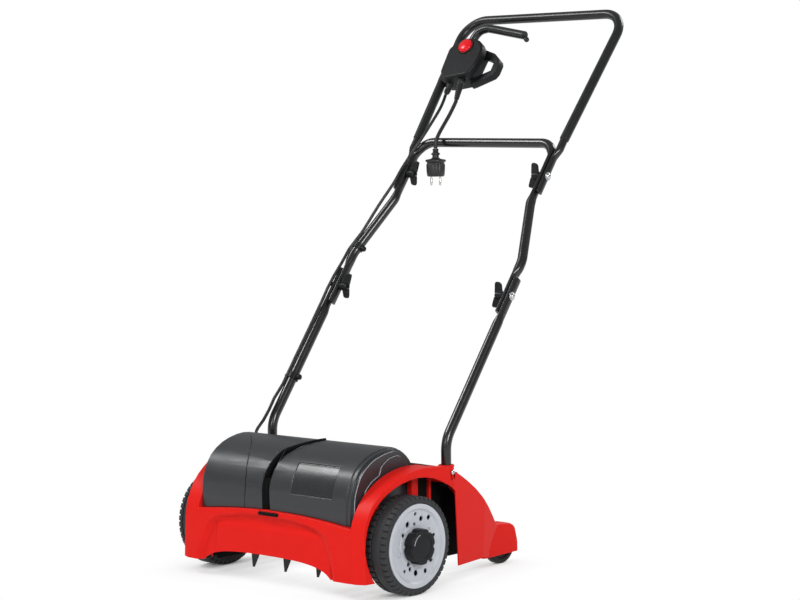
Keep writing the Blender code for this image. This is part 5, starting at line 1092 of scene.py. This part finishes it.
    def knob(self, sign, side):
        """Six-lobed hand knob with a rounded rim, and a raised light arc on it as a painted highlight."""
        line = []
        for k in range(96):
            t = 2 * math.pi * k / 96
            notch = max(0.0, math.cos(6 * t + 0.5)) ** 5
            r = KNOB * (1.0 - 0.115 * notch)
            line.append((r * math.cos(t), WHEEL + r * math.sin(t)))
        bm = side_slab(sign, line, KNOB_BACK, KNOB_FRONT, 0.0012, 0.003)
        dish = turned([(0, 0.0016), (0.0205, 0.0016), (0.0225, 0.0004), (0.0225, -0.001), (0.0205, -0.0006),
                       (0, -0.0006)], (sign * KNOB_FRONT, 0, WHEEL), (sign, 0, 0), 64)
        bm = carve(bm, dish, cross_rod(sign, 0, WHEEL, KNOB_BACK - 0.01, 0.2768, 0.0064))
        settle(bm, "lobed_knob_" + side, "glass_filled_nylon", "depth_knob_" + side,
               ["depth_knob_" + side], sharp=38, edge=0.0003)
        # Painted highlight: a light arc where an edge of the knob catches the light
        path = [Vector((sign * (KNOB_FRONT - 0.0001), 0.0255 * math.cos(math.radians(a)),
                        WHEEL + 0.0255 * math.sin(math.radians(a)))) for a in range(112, 171, 4)]
        bm = drawn(path, (0.0005, 0.0009), (1, 0, 0), 8)
        settle(bm, "painted_highlight_arc_" + side, "silver_grey_polypropylene", "depth_knob_" + side)


class SCARIFIER_OT_rear_wheels(Piece, bpy.types.Operator):
    """Small rear wheels with a grooved tread and five pockets"""
    bl_idname = "scarifier.rear_wheels"
    bl_label = "Rear wheels"

    def execute(self, context):
        for sign, side in sides():
            w, r = REAR_WIDTH, REAR_WHEEL
            base = (sign * (REAR_X - w / 2), REAR_Y, r)
            profile = [
                (r - 0.003, w), (r - 0.001, w - 0.0008), (r, w - 0.0026), (r, w - 0.006),
                (r - 0.001, w - 0.0066), (r - 0.001, w - 0.0084), (r, w - 0.009), (r, 0.0026),
                (r - 0.001, 0.0008), (r - 0.003, 0), (0.0044, 0), (0.0044, w), (0.011, w),
                (0.0128, w - 0.001), (0.014, w - 0.003), (0.027, w - 0.003), (0.0292, w - 0.001), (0.031, w)]
            bm = turned(profile, base, (sign, 0, 0), 64)
            cuts = []
            for k in range(5):
                t = 2 * math.pi * k / 5
                y, z = REAR_Y + 0.0205 * math.cos(t), REAR_WHEEL + 0.0205 * math.sin(t)
                cuts.append(cross_rod(sign, y, z, REAR_X + w / 2 - 0.005, REAR_X + w / 2 + 0.002, 0.0042))
            bm = carve(bm, *cuts)
            settle(bm, "support_wheel_" + side, "glass_filled_nylon", "rear_wheel_" + side,
                   ["rear_wheel_" + side], edge=0.0004)
        return {'FINISHED'}


class SCARIFIER_OT_handle(Piece, bpy.types.Operator):
    """Powder-coated lower, middle and upper bars with their grip sleeve"""
    bl_idname = "scarifier.handle"
    bl_label = "Handle bars"

    def flattened(self, path, joints, flat, radius):
        """Half-axes along a bar that is pressed flat round its joints."""
        out = []
        for p in path:
            s = (p.y - BEND_Y) / math.sin(LEAN)
            t = ease(min(abs(s - joint) for joint in joints) - FLAT_REACH, 0.0, FLAT_BLEND)
            out.append(tuple(width / 2 + (radius - width / 2) * t for width in flat))
        return out

    def finely(self, path, step):
        """The same path with more points where it runs straight."""
        out = [path[0]]
        for a, b in zip(path, path[1:]):
            count = max(1, math.ceil((b - a).length / step))
            out += [a.lerp(b, k / count) for k in range(1, count + 1)]
        return out

    def execute(self, context):
        radius = context.scene.scarifier_sizes.bar
        for sign, side in sides():
            x = JOINT_LOW + GAP / 2 + FLAT[0] / 2
            points = [Vector((sign * LOWER_X, BEND_Y, 0.19)), Vector((sign * LOWER_X, BEND_Y, BEND_Z)),
                      on_handle(sign * LOWER_X, LOWER_JOINT - FLAT_REACH - FLAT_BLEND),
                      on_handle(sign * x, LOWER_JOINT - FLAT_REACH), on_handle(sign * x, LOWER_JOINT + STUB)]
            path = self.finely(rounded(points, [0, BEND_RADIUS, 0, 0, 0], 16), 0.006)
            bm = drawn(path, [(b, a) for a, b in self.flattened(path, [LOWER_JOINT], FLAT, radius)],
                       (1, 0, 0))
            settle(bm, "lower_tube_" + side, "gloss_powder_coat", "chassis",
                   ["lower_bar_" + side], edge=0.001)
        low = JOINT_LOW - GAP / 2 - FLAT[0] / 2
        half = [
            (low, LOWER_JOINT - STUB, 0), (low, LOWER_JOINT + FLAT_REACH, 0),
            (MIDDLE_X, LOWER_JOINT + FLAT_REACH + FLAT_BLEND, 0), (MIDDLE_X, MIDDLE_BEND_LOW, 0.06),
            (MIDDLE_FLAT_UP, MIDDLE_BEND_UP, 0.05), (MIDDLE_FLAT_UP, UPPER_JOINT - FLAT_REACH, 0),
            (MIDDLE_FLAT_UP, UPPER_JOINT + FLAT_REACH - 0.003, 0),
            (MIDDLE_FLAT_UP, MIDDLE_BAR, MIDDLE_CORNER)]
        self.hoop("middle_tube", half, [LOWER_JOINT, UPPER_JOINT], FLAT, radius, "middle_handle",
                  "middle_bar")
        low = JOINT_UP + GAP / 2 + TOP_FLAT[0] / 2
        half = [(low, UPPER_JOINT - STUB, 0), (low, UPPER_JOINT + FLAT_REACH, 0),
                (UPPER_X, UPPER_JOINT + FLAT_REACH + FLAT_BLEND, 0), (UPPER_X, SLEEVE_START, 0),
                (UPPER_TOP_X, UPPER_BAR, UPPER_CORNER)]
        self.hoop("upper_tube", half, [UPPER_JOINT], TOP_FLAT, CORE, "upper_handle", "upper_bar")
        self.hoop("padded_sleeve", half[3:], [0.0], FLAT, radius, "upper_handle", "grip_sleeve",
                  "soft_grip_pvc", "grip_foam")
        return {'FINISHED'}

    def hoop(self, name, half, joints, flat, radius, body, node, material="gloss_powder_coat",
             slot="tube_black"):
        """Bar bent to a hoop, from the (x, along, bend radius) of its right half."""
        both = [(-x, s, r) for x, s, r in half] + list(reversed(half))
        points = []
        for x, s, r in both:
            t = max(0.0, (s - SLEEVE_START) / (UPPER_BAR - SLEEVE_START))
            points.append(on_handle(x + (0.0062 * t if x > 0 else 0.0), s + (0.0185 * x - 0.0025) * t))
        path = self.finely(rounded(points, [r for x, s, r in both], 14), 0.008)
        bm = drawn(path, self.flattened(path, joints, flat, radius), FRONT)
        settle(bm, name, material, body, [node], edge=0.001)


class SCARIFIER_OT_joints(Piece, bpy.types.Operator):
    """Bolts, wing nuts and cable clips on the bars"""
    bl_idname = "scarifier.joints"
    bl_label = "Joints"

    def execute(self, context):
        for level, s, outer, face, body in (
                ("lower", LOWER_JOINT, JOINT_LOW + FLAT[0], JOINT_LOW - FLAT[0], "chassis"),
                ("upper", UPPER_JOINT, JOINT_UP + TOP_FLAT[0], JOINT_UP - FLAT[0], "middle_handle")):
            for sign, side in sides():
                self.bolt(level, side, sign, s, outer + 2 * GAP, face - 2 * GAP, body)
                self.wing_nut(level, side, sign, s, face - 2 * GAP)
        self.clip("lower", on_handle(-LOWER_X, 0.0), on_handle(-LOWER_X, 0.21), 0.5, "chassis")
        self.clip("upper", on_handle(-MIDDLE_X, MIDDLE_BEND_LOW), on_handle(-MIDDLE_FLAT_UP, MIDDLE_BEND_UP),
                  0.12, "middle_handle")
        return {'FINISHED'}

    def bolt(self, level, side, sign, s, outer, inner, body):
        """Domed bolt head on a washer, and its shank."""
        h = outer - inner + 0.015
        bm = turned([
            (0, h + 0.005), (0.002, h + 0.0049), (0.0036, h + 0.0043), (0.005, h + 0.0032),
            (0.0057, h + 0.0018), (0.0058, h + 0.0009), (0.0082, h + 0.0009), (0.0084, h + 0.0006),
            (0.0084, h), (0.003, h), (0.003, 0.0004), (0.0026, 0), (0, 0)],
            on_handle(sign * (inner - 0.015), s), (sign, 0, 0), 40)
        settle(bm, f"domed_bolt_{level}_{side}", "bright_chrome", body,
               [f"joint_bolt_{level}_{side}"], sharp=50)

    def wing_nut(self, level, side, sign, s, face):
        """Nylon wing nut: a stepped hub with a broad wing above and a narrower one below."""
        hub = face - 0.0185
        centre = on_handle(0, s)
        upright = Vector((0.0, math.sin(math.radians(12)), math.cos(math.radians(12))))
        across = upright.cross(Vector((1, 0, 0)))
        turn = Matrix(((-sign, 0, 0), (0, upright.y, across.y), (0, upright.z, across.z))).to_4x4()
        place = Matrix.Translation((sign * (hub + 0.0035), centre.y, centre.z)) @ turn
        bm = turned([(0.0031, 0), (0.006, 0), (0.0074, 0.001), (0.0092, 0.0026), (0.0092, 0.012),
                     (0.0084, 0.014), (0.0084, 0.0178), (0.0078, 0.0185), (0.0031, 0.0185)],
                    (sign * hub, centre.y, centre.z), (sign, 0, 0), 40)
        wings = [slab(outline, -0.0034, 0.0034, place, corner=0.003, top=0.0018, foot=0.0018, segments=3)
                 for outline in WINGS]
        bm = carve(bm, *wings, operation='UNION')
        bm = carve(bm, cross_rod(sign, centre.y, centre.z, hub + 0.002, face + 0.01, 0.0031))
        settle(bm, f"winged_nut_{level}_{side}", "glass_filled_nylon", f"{level}_nut_{side}",
               [f"wing_nut_{level}_{side}"], edge=0.0004)

    def clip(self, level, below, above, place, body):
        """Snap ring round the bar with a round thumb ear on each side."""
        centre = below.lerp(above, place)
        along = (above - below).normalized()
        turn = Matrix((along.cross(FRONT), FRONT, along)).transposed()
        bm = turned([(0.01, 0.0066), (0.0119, 0.0066), (0.0123, 0.006), (0.0123, -0.006), (0.0119, -0.0066),
                     (0.01, -0.0066)], centre, along, 40)
        ears = []
        for sign in (-1, 1):
            ears.append(turned([(0, 0.02), (0.004, 0.02), (0.0054, 0.0192), (0.0058, 0.0178),
                                (0.0058, 0.0158), (0.0052, 0.015), (0.004, 0.0146), (0.004, 0.0108),
                                (0, 0.0108)], centre, turn @ Vector((sign, 0, 0)), 28))
        bm = carve(bm, *ears, operation='UNION')
        way = centre + turn @ Vector((-0.006, 0.0118, 0.0))
        bm = carve(bm, rod(way - along * 0.02, way + along * 0.02, CABLE + 0.0003, 20))
        settle(bm, "snap_clip_" + level, "glass_filled_nylon", body, ["cable_clip_" + level],
               edge=0.0003)


class SCARIFIER_OT_controls(Piece, bpy.types.Operator):
    """Switch box with its stop button, start lever, cable hook and gland"""
    bl_idname = "scarifier.controls"
    bl_label = "Controls"

    def execute(self, context):
        place = box_frame()
        bx, bs = BUTTON
        lx, ls, _ = LEVER_PIVOT
        # Front cover: rounded, with a shallow collar round the button
        bm = slab(COVER, 0.016, COVER_TOP, place, corner=0.006, top=0.0052, foot=0.0008, segments=5)
        collar = turned([(0, COVER_TOP + 0.0025), (0.019, COVER_TOP + 0.0025), (0.0195, COVER_TOP + 0.0019),
                         (0.0197, COVER_TOP - 0.006), (0, COVER_TOP - 0.006)], on_box(bx, bs), FRONT, 56)
        bm = carve(bm, collar, operation='UNION')
        well = rod(on_box(bx, bs, COVER_TOP - 0.0095), on_box(bx, bs, COVER_TOP + 0.02), 0.0171, 56)
        slot = slab([(lx - LEVER_ROOM, ls - 0.012), (lx + LEVER_ROOM, ls - 0.012), (lx + LEVER_ROOM, 0.08),
                     (lx - LEVER_ROOM, 0.08)], 0.0, 0.025, place)
        bm = carve(bm, well, slot)
        settle(bm, "switch_cover", "glass_filled_nylon", "upper_handle",
               ["switch_box_front"], edge=0.0005)
        self.base(place)
        self.hook(place)
        self.lever()
        bm = turned([(0, 0.0138), (0.005, 0.0136), (0.0095, 0.0129), (0.013, 0.0117), (0.0152, 0.0101),
                     (0.0162, 0.0086), (0.0165, 0.007), (0.0165, 0.0), (0, 0.0)],
                    on_box(bx, bs, COVER_TOP - 0.0045), FRONT, 56)
        settle(bm, "domed_button", "signal_red_abs", "button", ["stop_button"], sharp=50)
        gx, gn = GLAND
        top = on_box(gx, BASE_FOOT - GAP, gn)
        profile = [(0, -0.0165), (0.0066, -0.0165), (0.007, -0.016), (0.0064, -0.001), (0.0068, 0.0),
                   (0.0068, 0.0022)]
        for k in range(3):
            h, r = 0.0026 + 0.002 * k, 0.0066 - 0.0004 * k
            profile += [(r - 0.001, h), (r - 0.001, h + 0.0006), (r, h + 0.0008), (r, h + 0.0016)]
        bm = turned(profile + [(0.005, GLAND_LENGTH - GAP), (0, GLAND_LENGTH - GAP)], top, -ALONG, 32)
        settle(bm, "ribbed_gland", "moulded_plug_rubber", "upper_handle", ["cable_gland"],
               edge=0.0002)
        return {'FINISHED'}

    def base(self, place):
        """Rear half of the box, clamped round the bar."""
        lx, ls, _ = LEVER_PIVOT
        bm = slab(BASE, *BASE_N, place, corner=0.006, top=0.0016, foot=0.0055, segments=5)
        clamp = slab(CLAMP, BASE_N[0] + 0.001, 0.0035, place, corner=0.005, top=0.002, foot=0.004)
        bm = carve(bm, clamp, operation='UNION')
        slope = (UPPER_TOP_X - UPPER_X) / (UPPER_BAR - SLEEVE_START)
        ends = [on_handle(-UPPER_X - slope * (s - SLEEVE_START), s) for s in (BOX_S - 0.086, BOX_S + 0.08)]
        room = slab([(lx - LEVER_ROOM, ls - 0.02), (lx + LEVER_ROOM, ls - 0.02), (lx + LEVER_ROOM, 0.08),
                     (lx - LEVER_ROOM, 0.08)], -0.0095, 0.02, place)
        top, hang = relief_seat()
        bm = carve(bm, rod(*ends, 0.0099, 32), room, rod(top - hang * 0.02, top + hang * 0.03, 0.0088, 32))
        settle(bm, "switch_base", "glass_filled_nylon", "upper_handle", ["switch_box_rear"],
               edge=0.0005)

    def hook(self, place):
        """Thick looped hook that holds the extension lead's slack."""
        outer = [Vector((BASE_RIGHT + GAP + out, s)) for s, out in HOOK]
        inner = []
        for i, p in enumerate(outer):
            before, after = outer[max(i - 1, 0)], outer[min(i + 1, len(outer) - 1)]
            run = (after - before).normalized()
            inner.append(p + Vector((-run.y, run.x)) * HOOK_BAND)
        inner[0].x, inner[-1].x = outer[0].x, outer[-1].x
        bm = slab([tuple(p) for p in outer + inner[::-1]], -0.008, 0.008, place, top=0.004, foot=0.004,
                  segments=5)
        settle(bm, "lead_hook", "glass_filled_nylon", "upper_handle", ["cable_hook"],
               sharp=40)

    def lever(self):
        """Bent start lever in a sleeve, with the ball-ended tail of its spring wire."""
        lx, ls, ln = LEVER_PIVOT
        path = smooth([
            on_box(lx, ls, ln), on_box(0.0, 0.047, 0.013), on_box(0.0015, 0.067, 0.0185),
            on_box(0.0115, 0.085, 0.022), on_box(0.031, 0.0915, 0.0235), on_box(0.052, 0.0885, 0.0245),
            on_box(0.1, 0.078, 0.026), on_box(0.146, 0.0682, 0.027)], 8)
        sizes = [(0.0066 + 0.0024 * min(1.0, i / 14),) * 2 for i in range(len(path))]
        bm = drawn(path, sizes, FRONT, 24)
        line = smooth(
            [on_box(0.142, 0.067, 0.0269), on_box(0.15, 0.063, 0.0272), on_box(0.1545, 0.059, 0.0272)], 5)
        tail = drawn(line, (0.002, 0.002), FRONT, 12)
        ball = bmesh.new()
        bmesh.ops.create_uvsphere(ball, u_segments=24, v_segments=14, radius=0.0056,
                                  matrix=Matrix.Translation(on_box(0.156, 0.057, 0.0272)))
        hub = rod(on_box(lx - 0.0098, ls, ln), on_box(lx + 0.0098, ls, ln), 0.0045)
        bm = carve(bm, tail, ball, hub, operation='UNION')
        settle(bm, "sleeved_lever", "soft_grip_pvc", "lever", ["start_lever"], edge=0.0006)


class SCARIFIER_OT_drive(Piece, bpy.types.Operator):
    """Blade drum, belt drive, motor and rear flap"""
    bl_idname = "scarifier.drive"
    bl_label = "Drive"

    def execute(self, context):
        for node, name, material, body, slot, edge in (
                ("blade_stack", "stamped_blades", "blackened_spring_steel", "drum", "blade_steel", 0.0002),
                ("drum_pulley", "drum_sheave", "glass_filled_nylon", "drum", "black_plastic", 0.0005),
                ("motor_pulley", "motor_sheave", "glass_filled_nylon", "rotor", "black_plastic", 0.0005),
                ("motor_housing", "motor_can", "rolled_motor_steel", "chassis", "motor_steel", 0.001),
                ("rear_flap", "hinged_flap", "glass_filled_nylon", "flap", "black_plastic", 0.0004)):
            bm = node_copy(node)
            settle(bm, name, material, body, [node], edge=edge)
        self.flap_ribs()
        return {'FINISHED'}

    def flap_ribs(self):
        """Stiffening ribs down the back of the rear flap."""
        bm = bmesh.new()
        top = smooth([(0.1995, 0.1731), (0.2275, 0.1496), (0.25, 0.128), (0.268, 0.107), (0.28, 0.0915)], 4)
        for x in (-0.11, -0.055, 0.0, 0.055, 0.11):
            path = [Vector((x, p.x, p.y + 0.0002)) for p in top]
            drawn(path, (0.0022, 0.0012), (0, 0, 1), 12, bm)
        settle(bm, "flap_ribs", "glass_filled_nylon", "flap")


# CAD nodes that stay: zinc-plated steel, but for the belt
STAYING = ("zinc_plate", "steel")
BELT = ("neoprene_belt", "belt_rubber")


class SCARIFIER_OT_finishes(Piece, bpy.types.Operator):
    """Gives every CAD node that stays its real finish"""
    bl_idname = "scarifier.finishes"
    bl_label = "Finishes"

    def execute(self, context):
        for name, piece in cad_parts.items():
            if piece.hide_render:
                continue
            material, slot = BELT if name == "drive_belt" else STAYING
            piece.data.materials.clear()
            piece.data.materials.append(finish(material))
        return {'FINISHED'}


class SCARIFIER_PT_panel(bpy.types.Panel):
    bl_label = "Lawn Scarifier"
    bl_idname = "SCARIFIER_PT_panel"
    bl_space_type = 'VIEW_3D'
    bl_region_type = 'UI'
    bl_category = "Scarifier"

    def draw(self, context):
        layout = self.layout
        for group in (context.scene.scarifier_colours, context.scene.scarifier_sizes):
            box = layout.box()
            for key in group.__annotations__:
                box.prop(group, key)
        for kind in OPERATORS:
            layout.operator(kind.bl_idname)


OPERATORS = (SCARIFIER_OT_studio, SCARIFIER_OT_leads, SCARIFIER_OT_deck, SCARIFIER_OT_hood,
             SCARIFIER_OT_front_wheels, SCARIFIER_OT_rear_wheels, SCARIFIER_OT_handle, SCARIFIER_OT_joints,
             SCARIFIER_OT_controls, SCARIFIER_OT_drive, SCARIFIER_OT_finishes)
GROUPS = (ScarifierColours, ScarifierSizes)


def register():
    for kind in (*GROUPS, *OPERATORS, SCARIFIER_PT_panel):
        bpy.utils.register_class(kind)
    bpy.types.Scene.scarifier_colours = bpy.props.PointerProperty(type=ScarifierColours)
    bpy.types.Scene.scarifier_sizes = bpy.props.PointerProperty(type=ScarifierSizes)


def unregister():
    del bpy.types.Scene.scarifier_colours
    del bpy.types.Scene.scarifier_sizes
    for kind in reversed((*GROUPS, *OPERATORS, SCARIFIER_PT_panel)):
        bpy.utils.unregister_class(kind)


def main():
    register()
    for kind in OPERATORS:
        group, call = kind.bl_idname.split(".")
        getattr(getattr(bpy.ops, group), call)()


if __name__ == "__main__":
    main()
